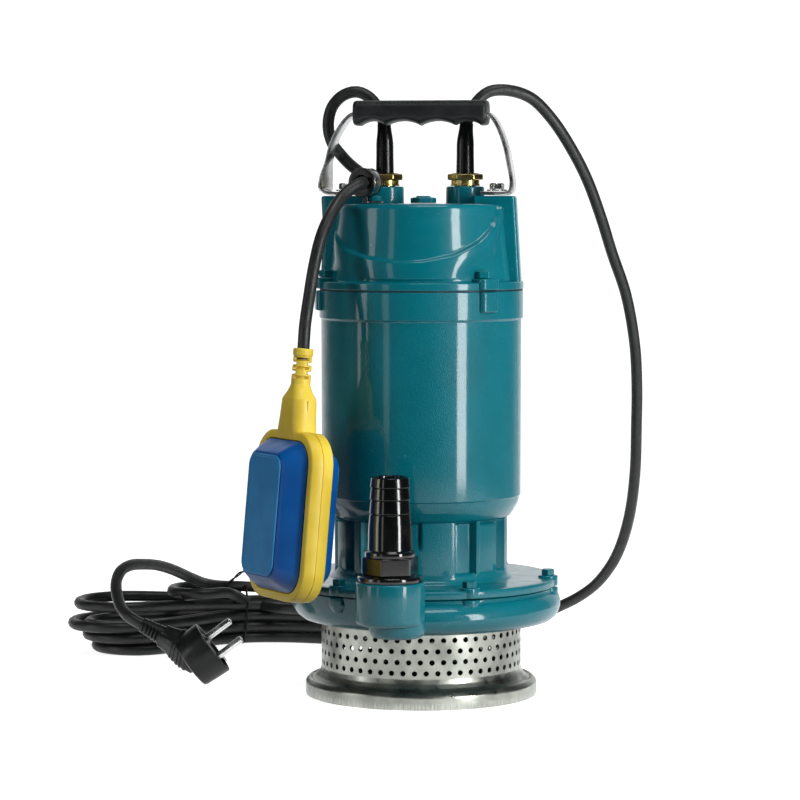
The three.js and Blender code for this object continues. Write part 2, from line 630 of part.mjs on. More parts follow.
// ---- power cord, tied hank and plug ------------------------------------------------------------
const powerCord = [
  [26.6, 16, 362.5], [27.2, 16.8, 371.2], [29.6, 18.6, 379.5], [33.9, 20.8, 386.9], [41.2, 23.7, 393],
      [53.1, 28.7, 394],
  [67.3, 37, 389.2], [80.3, 45.1, 375.6], [92.5, 54.1, 356], [101.8, 63.7, 336.3], [110.3, 74.2, 311],
  [116.8, 85.3, 287.1], [125.3, 98.8, 258.5], [130.3, 111.8, 224.6], [131, 124, 195.7], [130.1, 134, 170.2],
  [127.6, 151.8, 129.7], [121.4, 171.1, 95.6], [111.2, 189.7, 68.4], [97.4, 205.8, 48.7],
      [83.2, 218.7, 36.6],
  [66.9, 230.5, 27], [48, 241.4, 18], [31.4, 248.6, 12.6],
];
const powerCordTail = [
  [-166, 205.5, 40.6], [-175.5, 196.5, 41.8], [-184, 177.5, 45.6], [-189.2, 150.3, 53], [-195.6, 122.9, 61.9],
  [-201, 99.8, 67.8], [-206.3, 78.7, 71], [-211, 60.7, 72.3], [-214, 47.1, 70.2], [-214.3, 34.9, 64.4],
  [-210.3, 21, 57], [-203.4, 7.6, 49.2], [-195.3, -0.8, 44.6], [-187.6, -2.7, 40.9],
];
const HANK = { from: [-238.6, 147.7], to: [-4.2, 256.6], r: 35, height: 36, tieAt: 92 };

// A stadium outline round the hank's two end centres, in its own frame along +X.
function hankBody() {
  const length = Math.hypot(HANK.to[0] - HANK.from[0], HANK.to[1] - HANK.from[1]);
  const half = Array.from({ length: 9 }, (_, i) => deg(-90 + (180 * i) / 8));
  const right = half.map((a) => [length + HANK.r * Math.cos(a), HANK.r * Math.sin(a)]);
  const left = half.map((a) => [-HANK.r * Math.cos(a), -HANK.r * Math.sin(a)]);
  return plate([...right, ...left], 0, HANK.height);
}

// A square hoop round the hank: thickness and width of the wire, with a clearance added all round.
function tieHoop(clearance) {
  const { r, height, tieAt } = HANK;
  const low = tieAt - 1 - clearance;
  const high = tieAt + 1 + clearance;
  const outside = box(low, high, -r - 1 - clearance, r + 1 + clearance, -clearance,
      height + 1.4 + clearance);
  const inner = 1.6 + clearance;
  return outside.subtract(box(low - 1, high + 1, -r + inner - 1, r - inner + 1, inner, height - inner + 1));
}

const hankAngle = THREE.MathUtils.radToDeg(Math.atan2(HANK.to[1] - HANK.from[1],
    HANK.to[0] - HANK.from[0]));
const layHank = (shape) => shape.rotate([0, 0, hankAngle]).translate([...HANK.from, 0]);
put("power_cord", tube(powerCord, 46), blackRubber);
put("power_cord_hank", layHank(cut(hankBody(), tieHoop(GAP))), blackRubber);
put("hank_tie", layHank(tieHoop(0)), blackPlastic);
put("power_cord_tail", tube(powerCordTail, 26), blackRubber);

// The angled plug: X runs out of its face along the pins, Y from pin to pin.
const pinWay = new THREE.Vector3(0.788, 0.167, 0.594).normalize();
const plugSide = new THREE.Vector3().crossVectors(pinWay,
    new THREE.Vector3(0.545, -0.649, -0.532)).normalize();
const pinSpread = new THREE.Vector3().crossVectors(plugSide, pinWay);
const plugCentre = new THREE.Vector3(-146.2, -9.5, 21.6);
const plugGroup = new THREE.Group();
plugGroup.quaternion.setFromRotationMatrix(new THREE.Matrix4().makeBasis(pinWay, pinSpread, plugSide));
plugGroup.position.copy(plugCentre);
root.add(plugGroup);

// The way the cord leaves the plug, in the plug's own frame.
const cordWay = new THREE.Vector3(-0.898, 0.147, 0.418).normalize();
const cordLocal = cordWay.clone().applyQuaternion(plugGroup.quaternion.clone().invert());

// A tapered round piece along the cord's way out, between two distances from the plug's centre.
function alongCord(nearR, farR, from, to, sides) {
  const geometry = new THREE.CylinderGeometry(farR, nearR, to - from, sides);
  geometry.translate(0, (from + to) / 2, 0);
  geometry.applyQuaternion(new THREE.Quaternion().setFromUnitVectors(new THREE.Vector3(0, 1, 0),
      cordLocal));
  return solid(geometry);
}

function lying(shape) {
  return shape.rotate([0, 90, 0]);
}

const block = lying(turned([[0, -8.5], [14, -8.5], [18.3, -4], [18.3, 10.5], [0, 10.5]], 16));
put("plug_body", join(block, alongCord(11.5, 7.5, 2, 29, 10)), blackRubber, plugGroup);
put("plug_strain_relief", alongCord(6.6, 4.9, 29.3, 45.2, 10), blackRubber, plugGroup);
for (const [name, y] of [["near", 9.5], ["far", -9.5]]) {
  put("plug_pin_" + name, lying(turned([[0, 10.8], [2.4, 10.8], [2.4, 28.8], [1.4, 29.8], [0, 29.8]],
      10)).translate([0, y, 0]), zinc, plugGroup);
}
put("plug_earth_clip", box(10.8, 12.2, -2.6, 2.6, 10, 17.4), zinc, plugGroup);

export default root;
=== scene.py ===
"""Looks of the submersible sump pump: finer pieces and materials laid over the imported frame."""

from math import cos, degrees, pi, radians, sin, sqrt, tan

import bmesh
import bpy
from mathutils import Matrix, Vector, noise


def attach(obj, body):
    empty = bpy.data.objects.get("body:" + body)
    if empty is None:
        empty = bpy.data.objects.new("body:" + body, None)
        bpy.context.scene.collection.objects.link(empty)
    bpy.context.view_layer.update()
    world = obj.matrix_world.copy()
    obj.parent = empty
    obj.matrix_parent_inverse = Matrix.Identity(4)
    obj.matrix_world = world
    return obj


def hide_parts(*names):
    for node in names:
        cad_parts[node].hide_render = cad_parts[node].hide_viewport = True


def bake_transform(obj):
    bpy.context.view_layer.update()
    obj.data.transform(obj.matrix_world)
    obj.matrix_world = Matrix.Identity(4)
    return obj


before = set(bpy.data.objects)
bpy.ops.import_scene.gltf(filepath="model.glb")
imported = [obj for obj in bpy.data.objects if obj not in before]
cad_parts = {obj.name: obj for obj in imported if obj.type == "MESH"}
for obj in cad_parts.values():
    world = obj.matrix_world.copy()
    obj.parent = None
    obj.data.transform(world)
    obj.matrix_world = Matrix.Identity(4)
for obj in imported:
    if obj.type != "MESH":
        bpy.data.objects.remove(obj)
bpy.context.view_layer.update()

# ---- driving dimensions, in millimetres as in the CAD ----
MM = 0.001
CORD_R = 3.9
CAMERA_TURN = 9
GAP = 0.3
STRAINER = {"r": 65.3, "rim": 75.7, "sheet": 1.2, "low": 18.5}
HOLES = {"pitch": 7, "rows": 4, "per_row": 55, "r": 1.75}
BOSS = (-5, -96)
DISC = {"r": 88.5, "low": 72, "top": 77.4}
NECK = {"core": 52, "r": 57}
BARREL = {"low_r": 64.6, "high_r": 65.2, "top": 246}
COLLAR = {"r": 66.4, "top": 264}
CAP = {"low": 265, "flange": 269.8, "flange_r": 66.6, "low_r": 59.4, "high_r": 54.8, "top": 319.7}
GLANDS = {"left": (-26.6, 16), "right": (26.6, 16)}
BOSS_TOP = 331.2
GRIP = {"half": 43.5, "z": 378.6}
SCREW_RING = [(83.5, 30 + 60 * i) for i in range(6)]
COVER_BOLTS = [(61.7, angle) for angle in (48.5, -71.5, 168.5)]
FLOAT = {"centre": (-70.7, -85.3, 124), "turn": 309, "lean": -5.4, "width": 77, "length": 107, "rim": 15.4}
FLOAT_PIVOT = (-34.5, -28.1, 333.2)
HANK = {"from": (-238.6, 147.7), "to": (-4.2, 256.6), "tie": 92}


# ---- camera ----
def make_camera():
    data = bpy.data.cameras.new("camera")
    data.lens = 135
    data.sensor_width = 36
    data.clip_end = 30
    camera = bpy.data.objects.new("camera", data)
    camera.location = (0.29202, -1.93227, 0.3197)
    camera.rotation_euler = (radians(86.262), 0, radians(CAMERA_TURN))
    bpy.context.scene.collection.objects.link(camera)
    bpy.context.scene.camera = camera


make_camera()


# ---- materials ----
def linear(r, g, b):
    """A screen colour, 0 to 255, as linear values with alpha."""
    shares = (r / 255, g / 255, b / 255)
    return tuple(c / 12.92 if c <= 0.04045 else ((c + 0.055) / 1.055) ** 2.4 for c in shares) + (1,)


class Look:
    """A material being wired up. Textures follow the object's own coordinates, in metres."""

    def __init__(self, name):
        self.material = bpy.data.materials.new(name)
        self.material.use_nodes = True
        self.tree = self.material.node_tree
        self.shader = self.tree.nodes["Principled BSDF"]
        self.place = self.add("TexCoord").outputs["Object"]

    def add(self, kind, inputs=None, **settings):
        node = self.tree.nodes.new("ShaderNode" + kind)
        for key, value in settings.items():
            setattr(node, key, value)
        for key, value in (inputs or {}).items():
            self.feed(node.inputs[key], value)
        return node

    def feed(self, socket, value):
        if isinstance(value, bpy.types.NodeSocket):
            self.tree.links.new(value, socket)
        else:
            socket.default_value = value

    def set(self, **inputs):
        for key, value in inputs.items():
            self.feed(self.shader.inputs[key.replace("_", " ")], value)

    def noise(self, scale, detail=3, stretch=(1, 1, 1), place=None):
        mapped = self.add("Mapping", {"Vector": place or self.place, "Scale": stretch})
        inputs = {"Vector": mapped.outputs["Vector"], "Scale": scale, "Detail": detail}
        return self.add("TexNoise", inputs).outputs["Fac"]

    def math(self, operation, a, b=0.0, clamp=False):
        return self.add("Math", {0: a, 1: b}, operation=operation, use_clamp=clamp).outputs[0]

    def spread(self, value, low, high, to_low=0.0, to_high=1.0):
        inputs = {"Value": value, "From Min": low, "From Max": high, "To Min": to_low, "To Max": to_high}
        return self.add("MapRange", inputs, interpolation_type="SMOOTHSTEP").outputs["Result"]

    def mix(self, factor, a, b):
        node = self.add("Mix", data_type="RGBA")
        self.feed(node.inputs[0], factor)
        self.feed(node.inputs[6], a)
        self.feed(node.inputs[7], b)
        return node.outputs[2]

    def bump(self, *heights):
        """Each height is (value, depth in millimetres); they are laid over one another."""
        normal = None
        for value, depth in heights:
            inputs = {"Height": value, "Distance": depth * MM, "Strength": 1.0}
            if normal:
                inputs["Normal"] = normal
            normal = self.add("Bump", inputs).outputs["Normal"]
        self.set(Normal=normal)


def surface(name, dark, light, rough, fine, coarse, metallic=0.0, coat=0.0, stretch=(1, 1, 1), patches=45):
    """Two tones in patches, a range of roughness and two bumps, each (scale, depth in millimetres)."""
    look = Look(name)
    patch = look.spread(look.noise(patches, 4), 0.35, 0.65)
    grain = look.noise(fine[0], 2, stretch)
    tone = look.mix(patch, linear(*dark), linear(*light))
    look.set(Base_Color=tone, Metallic=metallic, Specular_IOR_Level=0.3)
    look.set(Coat_Weight=coat, Coat_Roughness=0.08)
    look.set(Roughness=look.spread(look.noise(patches * 3, 5), 0.3, 0.7, *rough))
    look.bump((look.noise(coarse[0], 3), coarse[1]), (grain, fine[1]))
    return look


def enamel(name, orange_peel):
    """Gloss teal enamel over a casting: orange peel, dust specks and thinner colour in places."""
    look = Look(name)
    patch = look.spread(look.noise(28, 4), 0.3, 0.7)
    tone = look.mix(patch, linear(0, 100, 112), linear(0, 107, 120))
    dust = look.spread(look.noise(420, 2), 0.74, 0.78)
    look.set(Base_Color=look.mix(look.math("MULTIPLY", dust, 0.35), tone, linear(80, 175, 185)), Metallic=0.0)
    look.set(Specular_IOR_Level=0.12, Coat_Weight=0.5, Coat_Roughness=0.09)
    look.set(Roughness=look.spread(look.noise(90, 4), 0.3, 0.7, 0.3, 0.42))
    look.bump((look.noise(130, 3), 0.05), (look.noise(1150, 2), orange_peel))
    return look.material


def drawn_steel():
    """Pressed stainless sheet: fine rings, smudges, a streaky sheared edge and a near-black inside, which is
    painted shade.
    """
    look = Look("drawn_stainless")
    axes = look.add("SeparateXYZ", {"Vector": look.place}).outputs
    angle = look.math("ARCTAN2", axes["Y"], axes["X"])
    turned = look.math("MULTIPLY", angle, 0.4)
    wrapped = look.add("CombineXYZ", {"X": turned, "Y": axes["Z"]}).outputs[0]
    rings = look.noise(900, 3, (0.05, 1, 1), wrapped)
    streaks = look.noise(900, 3, (1, 0.12, 1), wrapped)
    low = look.spread(axes["Z"], 0.0005, 0.006, 1.0, 0.0)
    smudge = look.spread(look.noise(38, 5), 0.35, 0.68)
    tone = look.mix(smudge, linear(122, 126, 120), linear(160, 163, 155))
    edge = look.math("MULTIPLY", low, look.spread(streaks, 0.42, 0.6))
    # Faces turned in towards the axis get a near-black colour: painted shade for the shadowed inside of the
    # strainer.
    outward = look.add("NewGeometry").outputs["True Normal"]
    level = look.add("CombineXYZ", {"X": axes["X"], "Y": axes["Y"]}).outputs[0]
    facing = look.add("VectorMath", {0: outward, 1: level}, operation="DOT_PRODUCT")
    outside = look.spread(facing.outputs["Value"], -0.02, 0.0)
    shown = look.mix(look.math("MULTIPLY", edge, 0.5), tone, linear(246, 244, 238))
    look.set(Base_Color=look.mix(outside, linear(22, 22, 21), shown), Metallic=1.0)
    look.set(Roughness=look.spread(look.noise(120, 5), 0.25, 0.75, 0.24, 0.42))
    look.bump((look.noise(60, 2), 0.16), (rings, 0.018), (look.math("MULTIPLY", streaks, low), 0.4))
    return look.material


def cord_sheath():
    """Extruded rubber sheath: matt, a faint sheen, a little dust."""
    tones = ((12, 14, 14), (20, 23, 22))
    look = surface("cord_rubber", *tones, (0.4, 0.56), (1500, 0.02), (170, 0.05), patches=60)
    look.set(Sheen_Weight=0.06, Sheen_Roughness=0.5, Specular_IOR_Level=0.4)
    return look.material


def grip_plastic():
    """Moulded grip: pebbled top, smoother shaded sides."""
    tones = ((14, 17, 18), (25, 29, 30))
    look = surface("grip_grain", *tones, (0.42, 0.55), (900, 0.03), (150, 0.03), patches=70)
    up = look.add("NewGeometry").outputs["Normal"]
    facing = look.spread(look.add("SeparateXYZ", {"Vector": up}).outputs["Z"], 0.25, 0.75)
    pebbles = look.add("TexVoronoi", {"Vector": look.place, "Scale": 800.0}).outputs["Distance"]
    look.bump((look.math("MULTIPLY", pebbles, facing), 0.35), (look.noise(1300, 2), 0.02))
    return look.material


TURNED = (0.1, 0.1, 2)
BRUSHED = (1, 0.1, 1)
UNWORKED = (1, 1, 1)
# What surface() takes: name, dark tone, light tone, roughness, fine bump, coarse bump, metal, coat, stretch
# and patches.
PLAIN_LOOKS = {
    "cast_iron": ("machined_iron", (62, 64, 66), (92, 94, 95), (0.45, 0.65), (700, 0.05), (120, 0.05), 0.8),
    "copper": ("wound_copper", (120, 58, 28), (176, 98, 52), (0.35, 0.5), (600, 0.2), (90, 0.1), 0.9),
    "gasket_rubber": ("gasket", (16, 16, 17), (28, 28, 29), (0.6, 0.8), (1200, 0.03), (150, 0.04)),
    # The joint ring's dark teal is painted shade for the shadow line between cover and housing.
    "joint_painted_shade": ("joint_painted_shade", (0, 38, 43), (0, 50, 56), (0.5, 0.7), (1200, 0.03), (150, 0.04)),
    "fitting_plastic": (
        "gloss_black", (5, 6, 7), (11, 12, 13), (0.12, 0.2), (1100, 0.012), (160, 0.04), 0, 0.5,
    ),
    "gland_brass": (
        "turned_brass", (164, 142, 84), (206, 186, 124), (0.2, 0.34), (900, 0.02), (140, 0.03), 1, 0, TURNED,
    ),
    "sleeve_rubber": ("gloss_sleeve", (8, 9, 10), (15, 17, 17), (0.2, 0.3), (1000, 0.012), (130, 0.08)),
    "zinc_steel": (
        "zinc_plate", (176, 178, 180), (224, 225, 225), (0.2, 0.36), (800, 0.02), (120, 0.05), 1, 0, BRUSHED,
    ),
    "float_yellow": (
        "yellow_plastic", (214, 184, 50), (228, 200, 70), (0.36, 0.48), (1200, 0.012), (110, 0.06), 0, 0,
        UNWORKED, 25,
    ),
    "float_blue": (
        "blue_plastic", (0, 74, 146), (4, 86, 160), (0.28, 0.4), (1000, 0.012), (90, 0.07), 0, 0,
        UNWORKED, 22,
    ),
    "float_panel": ("blue_panel", (24, 122, 184), (36, 134, 194), (0.4, 0.5), (1400, 0.02), (140, 0.03)),
    "switch_plastic": ("brown_switch", (60, 34, 20), (84, 50, 32), (0.4, 0.6), (900, 0.02), (120, 0.04)),
    "plug_rubber": ("plug_moulding", (10, 12, 12), (20, 23, 23), (0.3, 0.44), (1500, 0.018), (160, 0.04)),
    "tie_wire": ("tie_wire", (8, 8, 9), (18, 18, 19), (0.35, 0.5), (1500, 0.02), (300, 0.02)),
}
LOOKS = {slot: surface(*row).material for slot, row in PLAIN_LOOKS.items()}
LOOKS["cast_paint"] = enamel("enamel_on_casting", 0.3)
LOOKS["smooth_paint"] = enamel("enamel_on_cover", 0.03)
LOOKS["stainless"] = drawn_steel()
LOOKS["grip_plastic"] = grip_plastic()
LOOKS["cord_rubber"] = cord_sheath()


# ---- shapes: points in millimetres with faces ----
def around(r, angle):
    """Plan position at a radius and an angle measured from the front, -Y, towards +X."""
    return r * sin(radians(angle)), -r * cos(radians(angle))


def angles(count, offset=0):
    """Even steps round a full turn, in radians."""
    return [2 * pi * (k + offset) / count for k in range(count)]


def ease(value, low, high):
    """From 0 at low to 1 at high, flat at both ends."""
    t = min(1.0, max(0.0, (value - low) / (high - low)))
    return t * t * (3 - 2 * t)


def between(value, table):
    """The value on straight lines through a table of (key, value) pairs in rising key order."""
    if value <= table[0][0]:
        return table[0][1]
    for (a, low), (b, high) in zip(table, table[1:]):
        if value <= b:
            return low + (high - low) * (value - a) / (b - a)
    return table[-1][1]


def rounded(corners, closed=False, steps=4):
    """An outline of (a, b) or (a, b, fillet) corners, with the filleted ones turned into arcs."""
    out = []
    count = len(corners)
    for i, corner in enumerate(corners):
        here = Vector(corner[:2])
        if len(corner) < 3 or (not closed and i in (0, count - 1)):
            out.append(tuple(here))
            continue
        before = Vector(corners[i - 1][:2]) - here
        after = Vector(corners[(i + 1) % count][:2]) - here
        half = max(before.angle(after) / 2, 0.05)
        reach = min(corner[2] / tan(half), 0.48 * before.length, 0.48 * after.length)
        start = here + before.normalized() * reach
        end = here + after.normalized() * reach
        for k in range(steps + 1):
            t = k / steps
            out.append(tuple((1 - t) ** 2 * start + 2 * t * (1 - t) * here + t * t * end))
    return out


def grid_faces(rows, wrap=True):
    """Quads between rows of point numbers, closed round each row."""
    faces = []
    for low, high in zip(rows, rows[1:]):
        count = len(low)
        for k in range(count if wrap else count - 1):
            n = (k + 1) % count
            face = list(dict.fromkeys([low[k], low[n], high[n], high[k]]))
            if len(face) > 2:
                faces.append(face)
    return faces


def lathe(profile, sides=96, centre=(0, 0), radius=None):
    """A surface of revolution from (r, z) pairs; radius(r, z, angle) may vary it round the axis."""
    points = []
    rows = []
    for r, z in profile:
        if r < 1e-6:
            rows.append([len(points)] * sides)
            points.append((centre[0], centre[1], z))
            continue
        rows.append(list(range(len(points), len(points) + sides)))
        for a in angles(sides):
            reach = radius(r, z, degrees(a)) if radius else r
            points.append((centre[0] + reach * cos(a), centre[1] + reach * sin(a), z))
    return points, grid_faces(rows)


def prism(outline, low, high):
    """A plan outline, anticlockwise, raised from one height to another."""
    count = len(outline)
    points = [(x, y, low) for x, y in outline] + [(x, y, high) for x, y in outline]
    faces = [list(range(count))[::-1], list(range(count, 2 * count))]
    faces += [[k, (k + 1) % count, count + (k + 1) % count, count + k] for k in range(count)]
    return points, faces


def loft(outlines, caps=True):
    """A skin through rings of points that all have the same count."""
    count = len(outlines[0])
    points = [p for ring in outlines for p in ring]
    rows = [list(range(i * count, (i + 1) * count)) for i in range(len(outlines))]
    faces = grid_faces(rows)
    if caps:
        faces += [rows[0][::-1], rows[-1]]
    return points, faces


def together(*shapes):
    points = []
    faces = []
    for more_points, more_faces in shapes:
        start = len(points)
        points += more_points
        faces += [[start + i for i in face] for face in more_faces]
    return points, faces


def placed(shape, matrix):
    points, faces = shape
    return [tuple(matrix @ Vector(p)) for p in points], faces


def box(x0, x1, y0, y1, z0, z1):
    return prism([(x0, y0), (x1, y0), (x1, y1), (x0, y1)], z0, z1)


def hexagon(flats, x, y, turn=0):
    r = flats / sqrt(3)
    corners = [radians(turn + 60 * k) for k in range(6)]
    return [(x + r * cos(a), y + r * sin(a)) for a in corners]


def hex_head(x, y, seat, flats, height, turn=0, washer=0):
    """A bolt head: hexagon with a low turned crown, and a flange under it where there is one."""
    parts = [prism(hexagon(flats, x, y, turn), seat, seat + height)]
    top = seat + height
    crown = [(flats * 0.5, top - 0.1), (flats * 0.47, top + 0.35), (0, top + 0.35)]
    parts.append(lathe(crown, 32, (x, y)))
    if washer:
        rim = [(0, seat - 1.3), (washer, seat - 1.3, 0.3), (washer, seat - 0.3, 0.6), (0, seat + 0.1)]
        parts.append(lathe(rounded(rim), 40, (x, y)))
    return together(*parts)


def smooth_line(points, spacing=4.0):
    """Centripetal Catmull-Rom through the points, cut into even short steps."""
    line = [Vector(p) for p in points]
    line = [2 * line[0] - line[1]] + line + [2 * line[-1] - line[-2]]
    out = []
    for p0, p1, p2, p3 in zip(line, line[1:], line[2:], line[3:]):
        t1 = max((p1 - p0).length, 1e-4) ** 0.5
        t2 = t1 + max((p2 - p1).length, 1e-4) ** 0.5
        t3 = t2 + max((p3 - p2).length, 1e-4) ** 0.5
        steps = max(2, round((p2 - p1).length / spacing))
        for k in range(steps):
            t = t1 + (t2 - t1) * k / steps
            a1 = p0 * (t1 - t) / t1 + p1 * t / t1
            a2 = p1 * (t2 - t) / (t2 - t1) + p2 * (t - t1) / (t2 - t1)
            a3 = p2 * (t3 - t) / (t3 - t2) + p3 * (t - t2) / (t3 - t2)
            b1 = a1 * (t2 - t) / t2 + a2 * t / t2
            b2 = a2 * (t3 - t) / (t3 - t1) + a3 * (t - t1) / (t3 - t1)
            out.append(b1 * (t2 - t) / (t2 - t1) + b2 * (t - t1) / (t2 - t1))
    out.append(line[-2])
    return out


def tube(line, radius, sides=16):
    """A round tube along a line; radius is a number or a function of the fraction of the way along."""
    rings = []
    ahead = (line[1] - line[0]).normalized()
    side = ahead.orthogonal().normalized()
    for i, here in enumerate(line):
        way = (line[min(i + 1, len(line) - 1)] - line[max(i - 1, 0)]).normalized()
        side = (side - way * side.dot(way)).normalized()
        other = way.cross(side)
        r = radius(i / (len(line) - 1)) if callable(radius) else radius
        across = [(r * cos(a), r * sin(a)) for a in angles(sides)]
        rings.append([tuple(here + side * x + other * y) for x, y in across])
    return loft(rings)


def length_of(line):
    return sum((b - a).length for a, b in zip(line, line[1:]))


# ---- pieces ----
def dress(piece, look, body, nodes):
    """Gives a new object its finish, the body that it rides on and the CAD nodes that it stands for."""
    piece.data.materials.append(LOOKS[look])
    bpy.context.scene.collection.objects.link(piece)
    if body:
        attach(piece, body)
    if nodes:
        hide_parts(*nodes)
    return piece


def settle(piece, sharp):
    """Applies the modifiers, then keeps only the edges under the given angle smooth."""
    seen = piece.evaluated_get(bpy.context.evaluated_depsgraph_get())
    finished = bpy.data.meshes.new_from_object(seen)
    piece.modifiers.clear()
    piece.data = finished
    finished.shade_smooth()
    finished.set_sharp_from_angle(angle=radians(sharp))


def add_piece(name, shape, look, nodes=(), body="pump", bevel=0, sharp=35, merge=False):
    points, faces = shape
    mesh = bpy.data.meshes.new(name)
    mesh.from_pydata([Vector(p) * MM for p in points], [], faces)
    if merge:
        work = bmesh.new()
        work.from_mesh(mesh)
        bmesh.ops.remove_doubles(work, verts=work.verts, dist=0.02 * MM)
        work.to_mesh(mesh)
        work.free()
    mesh.update()
    mesh.shade_smooth()
    mesh.set_sharp_from_angle(angle=radians(sharp))
    piece = bpy.data.objects.new(name, mesh)
    dress(piece, look, body, nodes)
    if bevel:
        soft = piece.modifiers.new("soft_edges", "BEVEL")
        soft.width = bevel * MM
        soft.segments = 3
        soft.limit_method = "ANGLE"
        soft.angle_limit = radians(32)
        soft.harden_normals = True
    return piece


# ---- the plug's frame: X along the pins, Y from pin to pin ----
PIN_WAY = Vector((0.788, 0.167, 0.594)).normalized()
PLUG_SIDE = PIN_WAY.cross(Vector((0.545, -0.649, -0.532))).normalized()
PIN_SPREAD = PLUG_SIDE.cross(PIN_WAY)
CORD_WAY = Vector((-0.898, 0.147, 0.418)).normalized()
PLUG_CENTRE = Vector((-146.2, -9.5, 21.6))
PLUG_FRAME = Matrix.Translation(PLUG_CENTRE) @ Matrix((PIN_WAY, PIN_SPREAD, PLUG_SIDE)).transposed().to_4x4()

# ---- cords ----
POWER_DROP = [
    (26.6, 16, 362.5), (27.2, 16.8, 371.2), (29.6, 18.6, 379.5), (33.9, 20.8, 386.9), (41.2, 23.7, 393),
    (53.1, 28.7, 394), (67.3, 37, 389.2), (80.3, 45.1, 375.6), (92.5, 54.1, 356), (101.8, 63.7, 336.3),
    (110.3, 74.2, 311), (116.8, 85.3, 287.1), (125.3, 98.8, 258.5), (130.3, 111.8, 224.6), (131, 124, 195.7),
    (130.1, 134, 170.2), (127.6, 151.8, 129.7), (121.4, 171.1, 95.6), (111.2, 189.7, 68.4),
    (97.4, 205.8, 48.7), (83.2, 218.7, 36.6), (66.9, 230.5, 27), (48, 241.4, 18), (31.4, 248.6, 12),
]
POWER_TAIL = [
    (-166, 205.5, 40.6), (-175.5, 196.5, 41.8), (-184, 177.5, 45.6), (-189.2, 150.3, 53),
    (-195.6, 122.9, 61.9), (-201, 99.8, 67.8), (-206.3, 78.7, 71), (-211, 60.7, 72.3), (-214, 47.1, 70.2),
    (-214.3, 34.9, 64.4), (-210.3, 21, 57), (-203.4, 7.6, 49.2), (-195.3, -0.8, 44.6), (-187.6, -2.7, 40.9),
]
FLOAT_CORD = [
    (-26.6, 16, 350), (-26.6, 16, 362.4), (-27.2, 16.8, 371.4), (-31.4, 18.4, 382), (-37, 19, 389.3),
    (-45.4, 18.8, 393.2), (-54.7, 18.4, 391), (-62, 17.8, 383.3), (-64.6, 17.4, 371.5), (-61.8, 16.8, 359.7),
    (-55, 15.5, 351), (-48, 9, 345), (-40.5, 1.5, 340), (-35.2, -5.5, 335.6), (-33.7, -12, 333.7),
    (-34, -17.5, 333.5), (-34.4, -23.8, 333.4), FLOAT_PIVOT, (-37.5, -32, 331.4), (-44.1, -39, 325.6),
    (-50.2, -51, 313.6), (-54.9, -60, 299.6), (-58.2, -67, 281.2), (-60.8, -72.4, 260), (-62.3, -77.6, 243),
    (-63, -79, 229.6), (-63.4, -79.9, 222),
]
HANK_ALONG = (Vector(HANK["to"]) - Vector(HANK["from"])).normalized()
HANK_RUN = (Vector(HANK["to"]) - Vector(HANK["from"])).length
HANK_FRONT = Vector((HANK_ALONG.y, -HANK_ALONG.x))
OUTER, INNER = 31.4, 23.4
TIED_AT = -21
LAYER = 8.0
# Each turn of the hank: radius, layer, where its left fold is centred and how high the fold lies.
TURNS = [
    (OUTER, 0, 12.8, 4.2), (INNER, 0, 13, 4.2), (INNER, 1, 7, 12.4), (OUTER, 1, 6.2, 12.6),
    (OUTER, 2, -4.1, 20.8), (INNER, 2, -1, 20.4), (OUTER, 3, 0.3, 35), (INNER, 3, 60, 41.5),
]


def in_hank(u, v, z):
    spot = Vector(HANK["from"]) + HANK_ALONG * u + HANK_FRONT * v
    return (spot.x, spot.y, z)


def column_at(column, u, spread=1.0):
    """Sideways place of a run: wide at the folds, drawn together where the tie holds the hank."""
    tied = TIED_AT + column * (12 / OUTER if abs(column) > 27 else 4 / INNER)
    reach = 85 if u < HANK["tie"] else 105
    wide = ease(abs(u - HANK["tie"]) * spread, 4, reach)
    return tied + (column - tied) * wide


def hank_route():
    """Turn after turn: out along the front, round the left fold, back behind and round the right fold."""
    route = []
    for i, (radius, layer, fold, fold_height) in enumerate(TURNS):
        height = 4.2 + LAYER * layer
        spread = 3.4 if fold > 50 else 1.0
        run = [HANK_RUN - 4, 222, 188, 155, 122, HANK["tie"] + 6]
        if fold < 50:
            run += [HANK["tie"] - 20, 46, fold + 8]
        else:
            run += [fold + 12]
        for side in (1, -1):
            stations = run if side > 0 else run[::-1]
            for k, u in enumerate(stations):
                lift = ease(HANK["tie"] + 10 - u, 0, HANK["tie"] - fold)
                sway = 0.5 * sin(0.035 * u + 1.7 * i + side)
                z = height + (fold_height - height) * lift
                route.append(in_hank(u, column_at(side * radius, u, spread) + sway * (1 - lift), z))
            if side > 0:
                for a in range(105, 256, 25):
                    turn = radians(a)
                    u = fold + radius * cos(turn)
                    route.append(in_hank(u, radius * sin(turn), fold_height))
        following = TURNS[i + 1] if i + 1 < len(TURNS) else (16, 3.6, 0, 0)
        ahead, above = following[0], 4.2 + LAYER * following[1]
        middle = (ahead - radius) / 2
        arc = (ahead + radius) / 2
        out = 5 if ahead > radius else 0
        for a in range(-75, 76, 25):
            turn = radians(a)
            rise = height + (above - height) * ease(a, -75, 75)
            route.append(in_hank(HANK_RUN + out + arc * cos(turn), middle + arc * sin(turn), rise))
    for u in (HANK_RUN - 6, 225, 190, 155, 120):
        share = (HANK_RUN - u) / (HANK_RUN - 90)
        route.append(in_hank(u, 16 - 37 * ease(share, 0, 1), 33 + 6 * ease(share, 0.3, 1)))
    return route


